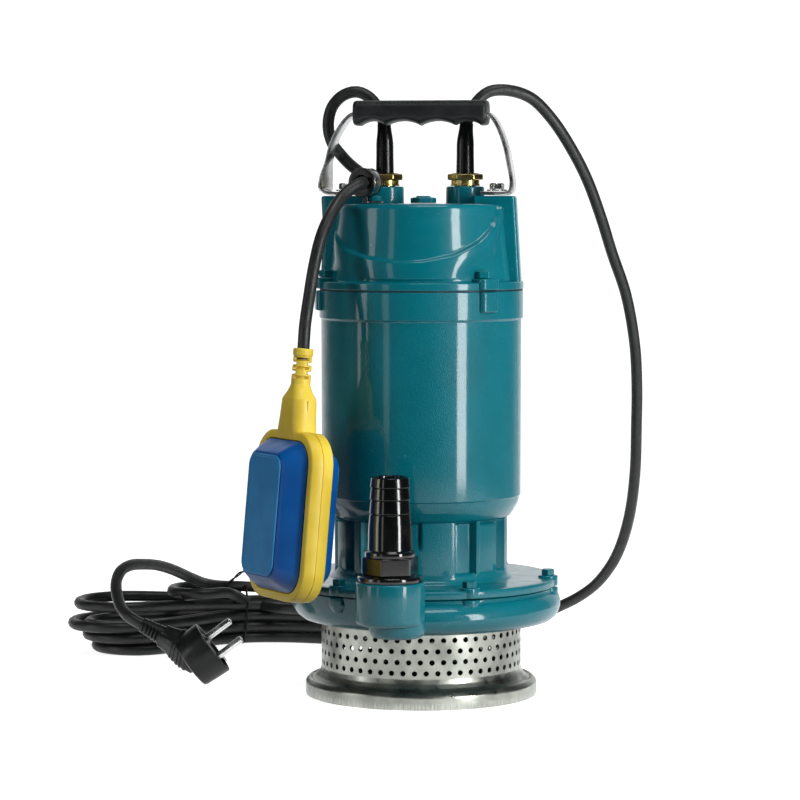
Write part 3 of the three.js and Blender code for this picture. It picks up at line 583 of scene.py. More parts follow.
def add_power_cord():
    into_plug = [tuple(PLUG_CENTRE + CORD_WAY * reach) for reach in (40, 30)]
    start = [(26.6, 16, 352)]
    line = smooth_line(start + POWER_DROP + hank_route() + POWER_TAIL + into_plug, 3.5)
    curve = bpy.data.curves.new("mains_lead", "CURVE")
    curve.dimensions = "3D"
    curve.bevel_depth = CORD_R * MM
    curve.bevel_resolution = 3
    spline = curve.splines.new("POLY")
    spline.points.add(len(line) - 1)
    for spot, p in zip(spline.points, line):
        spot.co = (p.x * MM, p.y * MM, p.z * MM, 1)
    lead = bpy.data.objects.new("mains_lead", curve)
    dress(lead, "cord_rubber", "pump", ("power_cord", "power_cord_hank", "power_cord_tail"))
    return lead, length_of(line) * MM


def add_float_cord():
    line = smooth_line(FLOAT_CORD, 3.0)
    nodes = ("float_cord_loop", "float_cord_free")
    cord = add_piece("float_lead", tube(line, CORD_R, 20), "cord_rubber", nodes, body=None)
    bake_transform(cord)


def add_tie():
    """Twisted black wire round the hank, its two ends twisted together and left standing."""
    wrap = (
        (17, 3), (17.6, 12), (17, 24), (16, 30), (10, 36), (4, 40.6), (-3, 41), (-9, 37), (-16, 30),
        (-17.4, 20), (-17, 4), (-12, 0.6), (0, 0.6), (12, 0.6), (16.6, 2.4),
    )
    hoop = [in_hank(HANK["tie"] + 0.1 * z - 2, TIED_AT + v, z) for v, z in wrap]
    parts = [tube(smooth_line(hoop, 2), 0.75, 8)]
    for phase in (0, pi):
        ends = []
        for k in range(30):
            t = k / 29
            around_twist = phase + 14 * t
            loose = 0.8 + 2.2 * ease(t, 0.75, 1)
            u = HANK["tie"] - 14 + 27 * t
            v = TIED_AT + 8 + 4 * t + loose * cos(around_twist)
            ends.append(Vector(in_hank(u, v, 41 + 13 * sin(2.3 * t) + loose * sin(around_twist))))
        parts.append(tube(ends, 0.6, 8))
    add_piece("wire_tie", together(*parts), "tie_wire", ("hank_tie",))


lead, lead_length = add_power_cord()
add_float_cord()
add_tie()


# ---- strainer ----
def perforated_band():
    """Rows of round holes, each in its own square of sheet, staggered from row to row."""
    r = STRAINER["r"]
    cell = 2 * pi * r / HOLES["per_row"]
    points = []
    faces = []
    for row in range(HOLES["rows"]):
        middle = STRAINER["low"] + HOLES["pitch"] * (row + 0.5)
        for i in range(HOLES["per_row"]):
            centre = (i + (row % 2) / 2) * cell
            start = len(points)
            for j in range(16):
                a = pi * j / 8
                largest = max(abs(cos(a)), abs(sin(a)))
                across = round(2 * round(cos(a) / largest, 6)) / 2
                up = round(2 * round(sin(a) / largest, 6)) / 2
                edge = (across * cell / 2, up * HOLES["pitch"] / 2)
                hole = (HOLES["r"] * cos(a), HOLES["r"] * sin(a))
                for x, z in (edge, hole):
                    turn = (centre + x) / r
                    points.append((r * cos(turn), r * sin(turn), middle + z))
            for j in range(16):
                n = (j + 1) % 16
                faces.append([start + 2 * j, start + 2 * n, start + 2 * n + 1, start + 2 * j + 1])
    return points, faces


def dented(r, z, angle):
    """The pressed rim is never quite round."""
    slack = ease(12 - z, 0, 8)
    a = radians(angle)
    return r + slack * 0.5 * noise.noise(Vector((cos(a), sin(a), z * 0.05)) * 3)


def build_strainer():
    r, rim = STRAINER["r"], STRAINER["rim"]
    high = STRAINER["low"] + HOLES["pitch"] * HOLES["rows"]
    sides = 4 * HOLES["per_row"]
    skirt = rounded([
        (rim - 0.3, 0.1), (rim, 1), (rim, 8.6, 2.6), (rim - 2.6, 11.5, 1.7), (rim - 5.3, 10.5, 1.6),
        (r + 2.6, 12.6, 2.6), (r + 0.9, 15.2, 2.4), (r, 18), (r, STRAINER["low"]),
    ])
    top = [(r, high), (r, 48.4)]
    shape = together(lathe(skirt, sides, radius=dented), perforated_band(), lathe(top, sides))
    strainer = add_piece("strainer_sheet", shape, "stainless", ("strainer",), merge=True)
    sheet = strainer.modifiers.new("sheet", "SOLIDIFY")
    sheet.thickness = STRAINER["sheet"] * MM
    sheet.offset = -1
    settle(strainer, 50)


# ---- pump casing ----
# The outer wall as (smallest radius, radius at the discharge, height).
CASING_WALL = [
    (65, 67, 49.6), (66.5, 75, 48.9), (70.5, 85.5, 49.2), (75.5, 91, 50.6), (79.5, 94, 53.6),
    (82.3, 95.2, 58), (84, 94.6, 62), (85, 92.6, 65.4), (85.6, 89.6, 67.4), (86, 86.9, 68.8),
    (86.4, 86.4, 69.8), (86.4, 86.4, 70.8), (85.8, 85.8, 71.2), (74, 74, 71.2),
]


def casing_radius(wall_index, angle):
    """The wall grows clockwise, seen from above, up to the discharge at the front."""
    turn = ((-90 - angle) % 360) / 360
    grown = turn ** 1.3
    seam = 1 - ease(turn, 0, 0.03)
    low, high, _ = CASING_WALL[wall_index]
    return low + (high - low) * max(grown, seam)


def build_casing():
    sides = 180
    rows = []
    for i, (_, _, z) in enumerate(CASING_WALL):
        ring = []
        for k in range(sides):
            angle = 360 * k / sides
            a = radians(angle)
            ring.append((casing_radius(i, angle) * cos(a), casing_radius(i, angle) * sin(a), z))
        rows.append(ring)
    wall = loft(rows, caps=False)
    upper_boss = rounded([(0, 57), (17, 57), (21.7, 58.6, 4.5), (21.7, 84.7, 1.6), (9, 84.7)], steps=7)
    lower_lobe = rounded([(0, 49.4), (17.4, 49.4, 6), (18.2, 60)], steps=6)
    lobe = lathe(lower_lobe, 64, (BOSS[0] + 4.2, BOSS[1] + 2.2))
    shape = together(wall, lathe(upper_boss, 72, BOSS), lobe)
    casing = add_piece("casing_casting", shape, "cast_paint", ("pump_casing",))
    for r, angle in SCREW_RING:
        lug = rounded([(0, 61), (3.5, 61.4, 2), (6.5, 66, 3), (6.5, 71.2, 0.6), (0, 71.2)])
        shape = lathe(lug, 32, around(r, angle))
        add_piece(f"casing_lug_{angle}", shape, "cast_paint").parent = casing


# ---- hose fitting ----
def build_fitting():
    base = 85
    body = [
        (9, base), (20.4, base, 0.4), (20.4, base + 3.4, 1.4), (15, base + 4.6, 1), (15, 100.2),
        (15.9, 100.6, 0.4), (15.9, 103.6, 0.9), (14, 104.8, 0.6), (13.7, 118.6, 2), (13, 126.8, 0.3),
        (12.4, 127.3, 0.2), (13.1, 127.8, 0.3), (12.4, 135.6, 0.3), (12, 136, 0.2), (12.9, 136.5, 0.3),
        (12.2, 143.2, 0.3), (11.8, 143.6, 0.2), (12.7, 144.1, 0.3), (12, 149.8, 0.6), (10.6, 150.4, 0.4),
        (9.3, 150, 0.4), (9, 140), (9, base),
    ]
    shape = lathe(rounded(body), 112, BOSS)
    fitting = add_piece("hose_fitting", shape, "fitting_plastic", ("discharge_fitting",), sharp=28)
    nut = prism(hexagon(31.5, *BOSS, turn=22), base + 4.2, 100.4)
    hexagon_piece = add_piece("hose_fitting_hexagon", nut, "fitting_plastic", bevel=0.9)
    hexagon_piece.parent = fitting


# ---- motor housing ----
def neck_radius(z, angle):
    """Cored neck between disc and barrel: three raised panels with ribs between, each with a pocket."""
    local = (angle + 14) % 120 - 14
    panel = ease(local, -14.8, -13.2) - ease(local, 31.4, 33)
    rib = ease(local, 45.2, 46.8) - ease(local, 50.6, 51.8)
    low_step = ease(local, 50.6, 51.8) - ease(local, 68.2, 69.8)
    low_step *= 1 - ease(z, 114, 116)
    fin = ease(local, 78.4, 79.8) - ease(local, 86.2, 87.6)
    r = NECK["core"] + (NECK["r"] - NECK["core"]) * max(panel, rib, 0.8 * low_step, fin)
    inside = (ease(local, -9.6, -8) - ease(local, 7.6, 9.2)) * ease(z, 99.6, 101.4)
    r -= 2.2 * inside
    foot = 60.5 - 3.2 * ease(z, 77, 80.5) - 1.2 * ease(z, 80.5, 84)
    r = max(r, foot) if z < 84 else r
    flare = between(z, [(113, 40), (117.6, 58.4), (121, 60.6), (126, 63.3), (130.2, 64.3)])
    return max(r, flare)


def build_housing():
    sides = 360
    neck_rows = [77.4, 78, 79, 80, 81.5, 83, 84, 84.4] + [86 + 1.6 * i for i in range(7)]
    neck_rows += [97.6 + 0.6 * i for i in range(4)] + [101, 104, 107, 110]
    neck_rows += [113, 113.8, 114.6, 115.4, 116.2, 117, 117.8, 119, 121, 123.5, 126, 128, 130.2]
    rows = []
    for z in neck_rows:
        ring = []
        for k in range(sides):
            angle = 360 * k / sides
            ring.append((*around(neck_radius(z, angle), angle), z))
        rows.append(ring)
    neck = loft(rows, caps=False)
    disc = rounded([
        (52, DISC["low"]), (DISC["r"], DISC["low"], 0.8), (DISC["r"], DISC["top"] - 0.4, 1.6),
        (85.5, DISC["top"], 1), (58, DISC["top"] + 0.15),
    ], steps=6)
    barrel = rounded([
        (64.3, 130.2), (BARREL["low_r"] + 0.3, 131, 0.5), (BARREL["high_r"], BARREL["top"] - 1.2, 0.5),
        (65.5, BARREL["top"] - 0.4), (COLLAR["r"], BARREL["top"] + 0.3, 0.5),
        (COLLAR["r"], COLLAR["top"] - 0.1, 0.6), (61, COLLAR["top"]),
    ])
    housing = add_piece("housing_disc", lathe(disc, 220), "cast_paint", ("motor_housing",))
    shell = add_piece("housing_barrel", together(neck, lathe(barrel, 220)), "cast_paint", sharp=60)
    shell.parent = housing
    for r, angle in SCREW_RING:
        lug = rounded([(0, 72.2), (6.4, 72.2, 0.8), (6.4, 78.9, 1.2), (0, 78.9)])
        shape = lathe(lug, 32, around(r, angle))
        add_piece(f"disc_lug_{angle}", shape, "cast_paint").parent = housing
    for i, (r, angle) in enumerate(COVER_BOLTS, 1):
        lug = bolt_pad(r, angle, 251, 264, 7.2)
        add_piece(f"housing_lug_{i}", lug, "cast_paint", bevel=1.1).parent = housing


def bolt_pad(r, angle, low, high, half):
    """A lug standing out from the wall with rounded outer corners."""
    corners = [(-half, 50), (half, 50), (half, r + 7.9, 4), (-half, r + 7.9, 4)]
    turn = Matrix.Rotation(radians(angle - 90), 2)
    outline = [turn @ Vector((y, -x)) for x, y in rounded(corners, closed=True, steps=6)]
    return prism([tuple(p) for p in outline], low, high)


# ---- top cover ----
# The curved step across the front, as (plan angle, height) pairs.
SMILE = [
    (-79, 306), (-67, 299.4), (-48, 290.6), (-26, 285.2), (-6, 282.5), (10, 283), (29, 286.5), (46.5, 294),
    (62, 304.6), (71, 317.5),
]


def cover_radius(r, z, angle):
    """The cover's cone, standing proud just under the smile line on the front."""
    if not 271.5 < z < 318.6:
        return r
    plan = (angle + 90 + 180) % 360 - 180
    if not -84 < plan < 76:
        return r
    line = between(plan, SMILE)
    fade = ease(plan, -84, -60) * (1 - ease(plan, 71, 76))
    face = 1.3 + 2.4 * ease(plan, -10, 60)
    step = 1 - ease(z, line - 0.3, line + face)
    sink = 1 - ease(line - z, 3, 20)
    return r + fade * (2.0 + 1.9 * ease(plan, 0, 60)) * step * sink


def build_cover():
    low, flange, top = CAP["low"], CAP["flange"], CAP["top"]
    cone = []
    for i in range(60):
        share = i / 59
        r = CAP["low_r"] + (CAP["high_r"] - CAP["low_r"]) * share
        cone.append((r, 272.4 + (top - 8 - 272.4) * share))
    rim = rounded([(55.2, top - 8), (54.6, top, 7), (40, top + 0.3), (0, top + 0.5)], steps=9)
    foot = rounded([
        (61, low), (CAP["flange_r"], low, 0.5), (CAP["flange_r"], flange, 1),
        (CAP["low_r"] + 0.4, flange + 0.3, 1.4), (CAP["low_r"], 272.4),
    ])
    shell = lathe(foot[:-1] + cone + rim[1:], 300, radius=cover_radius)
    cover = add_piece("cover_casting", shell, "smooth_paint", ("top_cover",), sharp=50)
    # A ring nearly flush in the joint, coloured dark teal as painted shade for the shadow line between cover
    # and housing.
    joint = [(60, 263.9), (66.1, 263.9), (66.1, 265.1), (60, 265.1)]
    add_piece("cover_joint", lathe(joint, 220), "joint_painted_shade", ("cover_gasket",))
    parts = []
    for side in (-1, 1):
        far = 62.2 if side > 0 else 64.8
        front, back = (-8, 5) if side > 0 else (-8.5, 8)
        outline = rounded([(36, front), (far, front, 3), (far, back, 3), (36, back)], closed=True)
        rows = []
        wide = 65.6 - far
        flare = ((flange - 0.8, wide), (300, wide - 1.8), (323.4, 0.2), (324.6, -0.3), (325, -1.2))
        for z, grow in flare:
            rows.append([(side * (x + (grow if x > 50 else 0)), y, z) for x, y in outline])
        if side < 0:
            rows = [row[::-1] for row in rows]
        parts.append(loft(rows))
    ears = add_piece("cover_ears", together(*parts), "smooth_paint", sharp=30)
    ears.parent = cover
    for side, spot in GLANDS.items():
        boss = rounded([(12.9, 312), (12.5, BOSS_TOP, 1.4), (6.4, BOSS_TOP), (6.4, 320)], steps=5)
        add_piece(f"gland_boss_{side}", lathe(boss, 64, spot), "smooth_paint").parent = cover
    for i, (r, angle) in enumerate(COVER_BOLTS, 1):
        pad = bolt_pad(r, angle, 265.2, 272.4, 7.6)
        add_piece(f"cover_pad_{i}", pad, "smooth_paint", bevel=0.9).parent = cover
        head = hex_head(*around(r, angle), 272.7, 10, 4.2, 12 * i)
        add_piece(f"cover_bolt_head_{i}", head, "smooth_paint", (f"cover_bolt_{i}",), bevel=0.4)


def build_small_fasteners():
    for i, (r, angle) in enumerate(SCREW_RING, 1):
        x, y = around(r, angle)
        head = hex_head(x, y, 78.9, 8, 3.6, 17 * i)
        add_piece(f"casing_screw_head_{i}", head, "cast_paint", (f"casing_screw_{i}",), bevel=0.35)
    knob = lathe(rounded([(5, 323.4), (4.6, 325, 0.8), (0, 325)]), 32, (2, -4))
    vent = together(hex_head(2, -4, CAP["top"] + 0.6, 15, 3.4, 20), knob)
    add_piece("vent_plug_head", vent, "smooth_paint", ("vent_plug",), bevel=0.5)
    clip_bolt = hex_head(-28, -15, 321.8, 7, 2.8, 10)
    add_piece("clip_bolt_head", clip_bolt, "smooth_paint", ("clip_bolt",), bevel=0.35)
    for side, x in (("left", -49.5), ("right", 49.5)):
        bolt = hex_head(x, 0, 329.4, 8.6, 3.6, 14, washer=6.6)
        add_piece(f"handle_bolt_head_{side}", bolt, "zinc_steel", (f"handle_bolt_{side}",), bevel=0.4)


# ---- glands and sleeves ----
def sleeve_radius(share):
    return 6.1 - 0.4 * ease(share, 0.1, 0.65) - 1.2 * ease(share, 0.7, 0.98)


def build_glands():
    for side, spot in GLANDS.items():
        seat = BOSS_TOP + GAP
        body = rounded([
            (7, 322), (7, seat), (9.7, seat, 0.3), (9.7, seat + 1, 0.3), (9.3, seat + 1.3, 0.2),
            (9.3, seat + 3.6),
        ])
        crown = rounded([
            (9.8, seat + 3.5), (11.4, seat + 4.6), (11.5, seat + 7.4), (10.2, seat + 8.4, 0.5),
            (6.6, seat + 8.4),
        ])
        hexagon_body = prism(hexagon(20.6, *spot, turn=8), seat + 3.7, seat + 7.9)
        nut = add_piece(f"gland_body_{side}", lathe(body, 56, spot), "gland_brass", (f"gland_nut_{side}",))
        add_piece(f"gland_hexagon_{side}", hexagon_body, "gland_brass", bevel=1.1).parent = nut
        ring = [(r * 0.875, z) for r, z in crown[:-1]] + [(6.6, seat + 8.4), (6.6, 324)]
        add_piece(f"gland_crown_{side}", lathe(ring, 56, spot), "gland_brass").parent = nut
        lean = 0.7 if side == "right" else -0.6
        x, y = spot
        spine = [(x, y, 323), (x, y, 350), (x + 0.15 * lean, y, 362), (x + lean, y + 0.8, 372)]
        sleeve = tube(smooth_line(spine, 1.5), sleeve_radius, 40)
        add_piece(f"cable_sleeve_{side}", sleeve, "sleeve_rubber", (f"gland_sleeve_{side}",), sharp=60)


# ---- carrying handle ----
STRAP_LINE = [
    (0, 378.6), (38, 378.6), (44.4, 377.6), (47.6, 374.8), (51.2, 368.6), (55.3, 357.5), (58, 345),
    (59.6, 336), (59.8, 330.6), (58.8, 327.6), (56.4, 326.7), (40, 326.7),
]


def build_handle():
    half = smooth_line([(x, 0, z) for x, z in STRAP_LINE], 1.5)
    line = [Vector((-p.x, 0, p.z)) for p in half[:0:-1]] + half
    corners = [(-10.5, -1.2, 0.5), (10.5, -1.2, 0.5), (10.5, 1.2, 0.5), (-10.5, 1.2, 0.5)]
    section = rounded(corners, closed=True, steps=2)
    rings = []
    for i, here in enumerate(line):
        way = (line[min(i + 1, len(line) - 1)] - line[max(i - 1, 0)]).normalized()
        out = Vector((-way.z, 0, way.x))
        left = ease(-here.x, 44, 58)
        twist = radians(13) * left * ease(here.z, 326.8, 330) * (1 - ease(here.z, 334, 349))
        ring = []
        for a, b in section:
            narrow = a * (1 - 0.12 * ease(abs(here.x), 30, 46) * ease(here.z, 327, 335))
            spot = here + out * b + Vector((0, narrow, 0))
            ring.append((spot.x - 3.4 * left + narrow * sin(twist), spot.y * cos(twist), spot.z))
        rings.append(ring)
    add_piece("handle_strap_bar", loft(rings), "zinc_steel", ("handle_strap",), sharp=40)

    ridges = [-39.5, -22.5, 0, 22.5, 39.5]
    rim_stations = [40.6, 41.6, 42.5, 43.1, 43.4, 43.5]
    stations = [-x for x in rim_stations[::-1]] + [-39.5 + 79 * i / 80 for i in range(81)] + rim_stations
    rings = []
    for x in stations:
        rim = min(1.0, (GRIP["half"] - abs(x)) / 2.2)
        reach = 0.86 + 0.14 * sqrt(max(0.0, 1 - (1 - rim) ** 2))
        scallop = 0.0
        for a, b in zip(ridges, ridges[1:]):
            if a < x < b:
                scallop = 2.9 * sin(pi * (x - a) / (b - a)) ** 0.8
        ring = []
        for a in angles(44, 0.5):
            flat = (abs(cos(a)) ** 3.4 + abs(sin(a)) ** 3.4) ** (-1 / 3.4)
            y = 12.3 * reach * flat * cos(a)
            z = 8.2 * reach * flat * sin(a)
            z += scallop * ease(-z, 1.5, 8)
            ring.append((x, y, GRIP["z"] + z))
        rings.append(ring)
    grip = add_piece("handle_grip_moulding", loft(rings), "grip_plastic", ("handle_grip",), sharp=55)
    for side in (-1, 1):
        x, middle = GRIP["half"], GRIP["z"]
        disc = [(side * (x + 0.25), 9.6 * cos(a), middle + 6.0 * sin(a)) for a in angles(32)]
        back = [(side * (x - 0.6), y * 1.03, middle + (z - middle) * 1.03) for _, y, z in disc]
        end = loft([back, disc] if side > 0 else [disc, back])
        name = "grip_end_right" if side > 0 else "grip_end_left"
        add_piece(name, end, "grip_plastic", bevel=0.3).parent = grip


# ---- cord clip ----
def build_clip():
    centre = Vector((-34, -17.5, 333.5))
    turned = Matrix.Translation(centre) @ Matrix.Rotation(radians(-20), 4, "Z")
    lay = turned @ Matrix.Rotation(radians(90), 4, "X")
    cushion = rounded([
        (5, -5.4), (9.6, -5.6, 1.4), (9.6, -3.9, 0.5), (8.2, -3.7), (8.2, 3.7), (9.6, 3.9, 0.5),
        (9.6, 5.6, 1.4), (5, 5.4),
    ], steps=4)
    ring = lathe(cushion + cushion[:1], 48)
    add_piece("clip_cushion_ring", placed(ring, lay), "sleeve_rubber", ("cord_clip_cushion",))
    band = rounded([(8, -3.8), (9.5, -3.8, 0.3), (9.5, 3.8, 0.3), (8, 3.8)], steps=3)
    hoop = placed(lathe(band, 56), lay)
    tab = box(-35, -23, -20, -10.5, CAP["top"] + 0.6, CAP["top"] + 1.9)
    web = box(-35.4, -31.8, -21, -13, CAP["top"] + 0.6, 326.4)
    add_piece("clip_band_strip", together(hoop, tab, web), "zinc_steel", ("cord_clip_band",), bevel=0.25)


# ---- float switch ----
FLOAT_FRAME = (
    Matrix.Translation(Vector(FLOAT["centre"]))
    @ Matrix.Rotation(radians(FLOAT["turn"]), 4, "Z")
    @ Matrix.Rotation(radians(FLOAT["lean"]), 4, "X")
)


def rounded_slab(width, length, corner, steps=10):
    """A rounded rectangle as pairs of coordinates; the number of points depends on the steps alone."""
    half_w, half_l = width / 2 - corner, length / 2 - corner
    out = []
    for quarter, (sx, sz) in enumerate(((1, 1), (-1, 1), (-1, -1), (1, -1))):
        for k in range(steps + 1):
            a = radians(90 * quarter + 90 * k / steps)
            out.append((sx * half_w + corner * cos(a), sz * half_l + corner * sin(a)))
    return out


def float_skin(stations, caps=True):
    """A skin through rounded rectangles given as (width, length, corner, depth in Y)."""
    rings = [[(x, -y, z) for x, z in rounded_slab(w, l, c)] for w, l, c, y in stations]
    return loft(rings, caps)


def build_float():
    width, length = FLOAT["width"], FLOAT["length"]
    half = FLOAT["rim"] / 2
    # The frame's section from its inner corner to the middle line: inset, corner radius and depth.
    edge = [
        (11.8, 15.4, half - 0.8), (10.6, 16, half), (2.4, 20.4, half), (0.8, 21, half - 0.8), (0, 21.4, 0.5),
        (0.7, 21.2, 0.3),
    ]
    section = [(inset, corner, -depth) for inset, corner, depth in edge] + edge[::-1]
    section.append(section[0])
    stations = [(width - inset, length - inset, corner, depth) for inset, corner, depth in section]
    band = placed(float_skin(stations, caps=False), FLOAT_FRAME)
    frame_piece = add_piece("float_rim", band, "float_yellow", ("float_frame",), body="float", sharp=45)

    # The neck as (height, half width, half depth, corner radius).
    neck = (
        (48, 16.5, 7.6, 6.5), (54, 14.6, 8.8, 7), (60, 13.4, 8.9, 7.2), (66, 12.8, 8.8, 7.2),
        (73, 12.2, 8.6, 7), (74.2, 11.8, 8.3, 6.8), (78.5, 8.4, 6.9, 6.4), (82, 6.4, 6.2, 6),
        (83.2, 6.1, 6.1, 6),
    )
    rings = [[(x, y, z) for x, y in rounded_slab(2 * w, 2 * d, c, steps=6)] for z, w, d, c in neck]
    block = placed(loft(rings), FLOAT_FRAME)
    add_piece("float_neck", block, "float_yellow", body="float", sharp=32).parent = frame_piece
    seam = placed(box(-12.9, 12.9, -0.5, 0.5, 50, 73), FLOAT_FRAME)
    add_piece("float_neck_seam", seam, "float_yellow", body="float", bevel=0.3).parent = frame_piece

    boot = []
    for z in [83 + 0.3 * i for i in range(76)]:
        ring = []
        for a in angles(48):
            slot = 0.0
            for n, spot in enumerate((87.2, 90.1, 93, 95.9, 98.8)):
                here = ease(0.95 - abs(z - spot), 0, 0.3)
                turned = a + radians(35) + (pi / 2 if n % 2 else 0)
                facing = ease(abs(cos(turned)), 0.6, 0.68)
                slot = max(slot, here * facing)
            r = 6.2 - 0.35 * ease(z, 84, 104) + 0.55 * ease(z, 100.6, 101.2) - 2.6 * slot
            r -= 0.5 * ease(z, 104.8, 105.5)
            ring.append((r * cos(a), r * sin(a), z))
        boot.append(ring)
    boot = placed(loft(boot), FLOAT_FRAME)
    add_piece("float_boot", boot, "float_yellow", body="float", sharp=40).parent = frame_piece

    for name, turn in (("front", 0), ("back", 180)):
        side = FLOAT_FRAME @ Matrix.Rotation(radians(turn), 4, "Z")
        w, l = width - 12.4, length - 12.4
        shell = placed(float_skin([
            (w - 2, l - 2, 14, 0.15), (w, l, 14.6, 0.3), (w, l, 14.6, 8), (w - 0.8, l - 0.8, 14.4, 8.8),
            (w - 2.6, l - 2.4, 13.8, 9.6), (55.5, 87, 12, 14.4), (46.4, 80, 9.4, 19), (45, 78.8, 8.8, 19.8),
            (43.6, 77.4, 8.2, 20.2),
        ]), side)
        nodes = (f"float_shell_{name}",)
        half_shell = add_piece(f"float_half_{name}", shell, "float_blue", nodes, body="float", sharp=24)
        panel = placed(float_skin([
            (41.6, 75.6, 7.6, 19.8), (41.6, 75.6, 7.6, 20.9), (40.8, 74.8, 7.3, 21.3), (38, 72, 6.4, 21.35),
            (37.5, 71.5, 6.2, 21.15),
        ]), side)
        add_piece(f"float_panel_{name}", panel, "float_panel", body="float", sharp=35).parent = half_shell


# ---- plug ----
def build_plug():
    cord_local = (PLUG_FRAME.to_3x3().inverted() @ CORD_WAY).normalized()
    face = []
    for x, r in ((-8.9, 15.2), (-8.3, 16.6), (-6.5, 17.3), (3, 18.1), (9.6, 18.4), (10.3, 18), (10.5, 17.2)):
        ring = []
        for a in angles(48):
            flat = (abs(cos(a)) ** 2.3 + abs(sin(a)) ** 2.3) ** (-1 / 2.3)
            ring.append((x, r * flat * cos(a), r * 0.97 * flat * sin(a)))
        face.append(ring)
    well = [[(x, y * share, z * share) for _, y, z in face[-1]] for x, share in ((10.3, 0.93), (8.6, 0.9))]
    block = placed(loft(face + well), PLUG_FRAME)
    body = add_piece("plug_moulding", block, "plug_rubber", ("plug_body",), sharp=30)

    along = Vector((0, 0, 1)).rotation_difference(cord_local).to_matrix().to_4x4()
    entry = []
    for reach in [0.4 * i for i in range(74)]:
        taper = ease(reach, 6, 30)
        rib = 1.05 if 4.5 < reach < 21 and reach % 3.2 > 1.6 else 1.0
        wide, deep = rib * (12.6 - 5.4 * taper), rib * (10.4 - 3.6 * taper)
        ring = []
        for a in angles(32, 0.5):
            x = wide * max(-0.96, min(0.96, 1.12 * cos(a)))
            y = deep * max(-0.94, min(0.94, 1.12 * sin(a)))
            ring.append((x, y, reach))
        entry.append(ring)
    add_piece("plug_entry", placed(loft(entry), PLUG_FRAME @ along), "plug_rubber", sharp=35).parent = body

    relief = []
    for reach in [28.8 + 0.25 * i for i in range(67)]:
        ring = []
        for a in angles(40):
            slot = 0.0
            for n in range(5):
                here = ease(0.8 - abs(reach - (31.4 + 2.7 * n)), 0, 0.25)
                slot = max(slot, here * ease(abs(cos(a)), 0.35, 0.5))
            r = 6.7 - 1.7 * (reach - 28.8) / 16.5 - 1.5 * slot
            ring.append((r * cos(a), r * sin(a), reach))
        relief.append(ring)
    relief = placed(loft(relief), PLUG_FRAME @ along)
    nodes = ("plug_strain_relief",)
    add_piece("plug_cord_relief", relief, "plug_rubber", nodes, sharp=40).parent = body

    for name, y in (("near", -9.5), ("far", 9.5)):
        pin = rounded([(0, 8.8), (2.4, 8.8), (2.4, 27.6), (2.2, 29.2, 0.9), (0, 29.9, 1.5)], steps=5)
        lay = PLUG_FRAME @ Matrix.Translation((0, y, 0)) @ Matrix.Rotation(radians(90), 4, "Y")
        prong = placed(lathe(pin, 32), lay)
        add_piece(f"plug_prong_{name}", prong, "zinc_steel", (f"plug_pin_{name}",)).parent = body
    clip = placed(box(10.6, 11.4, -2.6, 2.6, 10, 17.2), PLUG_FRAME)
    add_piece("plug_earth_strip", clip, "zinc_steel", ("plug_earth_clip",), bevel=0.2).parent = body
    return body


# ---- CAD nodes that keep their shape ----
NODE_LOOKS = {
    "stainless": ("base_plate",),
    "cast_iron": (
        "suction_plate", "stator_core", "bearing_bracket", "oil_chamber_plate", "seal_seat", "rotor_core",
    ),
    "copper": ("stator_winding_top", "stator_winding_bottom"),
    "gasket_rubber": ("casing_gasket",),
    "zinc_steel": ("upper_bearing", "lower_bearing", "shaft", "seal_head", "impeller_nut", "float_ball"),
    "gland_brass": ("impeller",),
    "fitting_plastic": ("capacitor",),
    "switch_plastic": ("float_switch_unit",),
}


def dress_nodes():
    for look, names in NODE_LOOKS.items():
        for name in names:
            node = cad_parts[name]
            if not node.material_slots:
                node.data.materials.append(LOOKS[look])
            for holder in node.material_slots:
                holder.material = LOOKS[look]


# ---- studio ----
def area_light(name, azimuth, distance, height, width, tall, power, reflected=True):
    """A softbox turned from the camera's side, positive to the right; one that isn't reflected only fills."""
    data = bpy.data.lights.new(name, "AREA")
    data.shape = "RECTANGLE"
    data.size = width
    data.size_y = tall
    data.energy = power
    light = bpy.data.objects.new(name, data)
    a = radians(azimuth + CAMERA_TURN)
    light.location = (distance * sin(a), -distance * cos(a), height)
    light.visible_glossy = reflected
    light.rotation_euler = (Vector((0, 0, 0.2)) - light.location).to_track_quat("-Z", "Y").to_euler()
    bpy.context.scene.collection.objects.link(light)


FLOOR_R = 0.9
# From the camera towards the object, level.
AWAY = (-0.1564, 0.9877, 0)


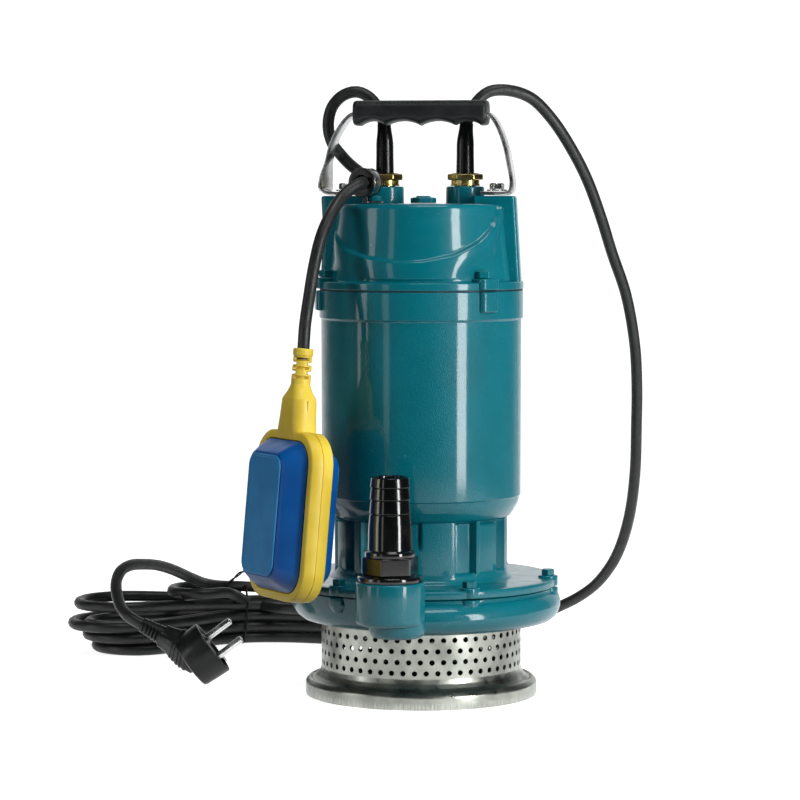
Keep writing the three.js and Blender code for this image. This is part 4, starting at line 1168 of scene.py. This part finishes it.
def build_studio():
    """A pale round floor, surroundings that are bright behind the object alone, and five softboxes."""
    floor_mesh = bpy.data.meshes.new("floor")
    rim = [(FLOOR_R * cos(a), FLOOR_R * sin(a), 0) for a in angles(96)]
    floor_mesh.from_pydata(rim, [], [list(range(96))])
    floor = bpy.data.objects.new("floor", floor_mesh)
    paper = Look("pale_paper")
    paper.set(Base_Color=(0.9, 0.9, 0.9, 1), Roughness=0.9)
    paper.set(Emission_Color=(1, 1, 1, 1), Emission_Strength=0.85)
    floor_mesh.materials.append(paper.material)
    bpy.context.scene.collection.objects.link(floor)
    # The floor shows and is reflected, and throws no light up under the object.
    floor.visible_diffuse = False

    world = bpy.data.worlds.new("studio")
    world.use_nodes = True
    bpy.context.scene.world = world
    tree = world.node_tree
    place = tree.nodes.new("ShaderNodeTexCoord")
    ahead = tree.nodes.new("ShaderNodeVectorMath")
    ahead.operation = "DOT_PRODUCT"
    ahead.inputs[1].default_value = AWAY
    tree.links.new(place.outputs["Generated"], ahead.inputs[0])
    ramp = tree.nodes.new("ShaderNodeMapRange")
    ramp.interpolation_type = "SMOOTHSTEP"
    ends = {"From Min": 0.6, "From Max": 0.96, "To Min": 0.03, "To Max": 1.15}
    for socket, value in ends.items():
        ramp.inputs[socket].default_value = value
    tree.links.new(ahead.outputs["Value"], ramp.inputs["Value"])
    tree.nodes["Background"].inputs["Color"].default_value = (1, 1, 1, 1)
    tree.links.new(ramp.outputs["Result"], tree.nodes["Background"].inputs["Strength"])

    area_light("strip", 46, 1.5, 0.35, 0.3, 1.3, 26)
    area_light("left_box", -70, 1.6, 0.4, 0.4, 1.2, 6)
    area_light("weak_strip", -40, 1.8, 0.4, 0.22, 1.0, 1.3)
    area_light("side_fill", 92, 1.3, 0.45, 0.9, 1.2, 7.5, reflected=False)
    area_light("overhead", 20, 0.5, 1.8, 0.9, 0.6, 12)
    scene = bpy.context.scene
    scene.view_settings.view_transform = "Standard"
    scene.view_settings.look = "None"


build_strainer()
build_casing()
build_fitting()
build_housing()
build_cover()
build_small_fasteners()
build_glands()
build_handle()
build_clip()
build_float()
plug = build_plug()
dress_nodes()
build_studio()
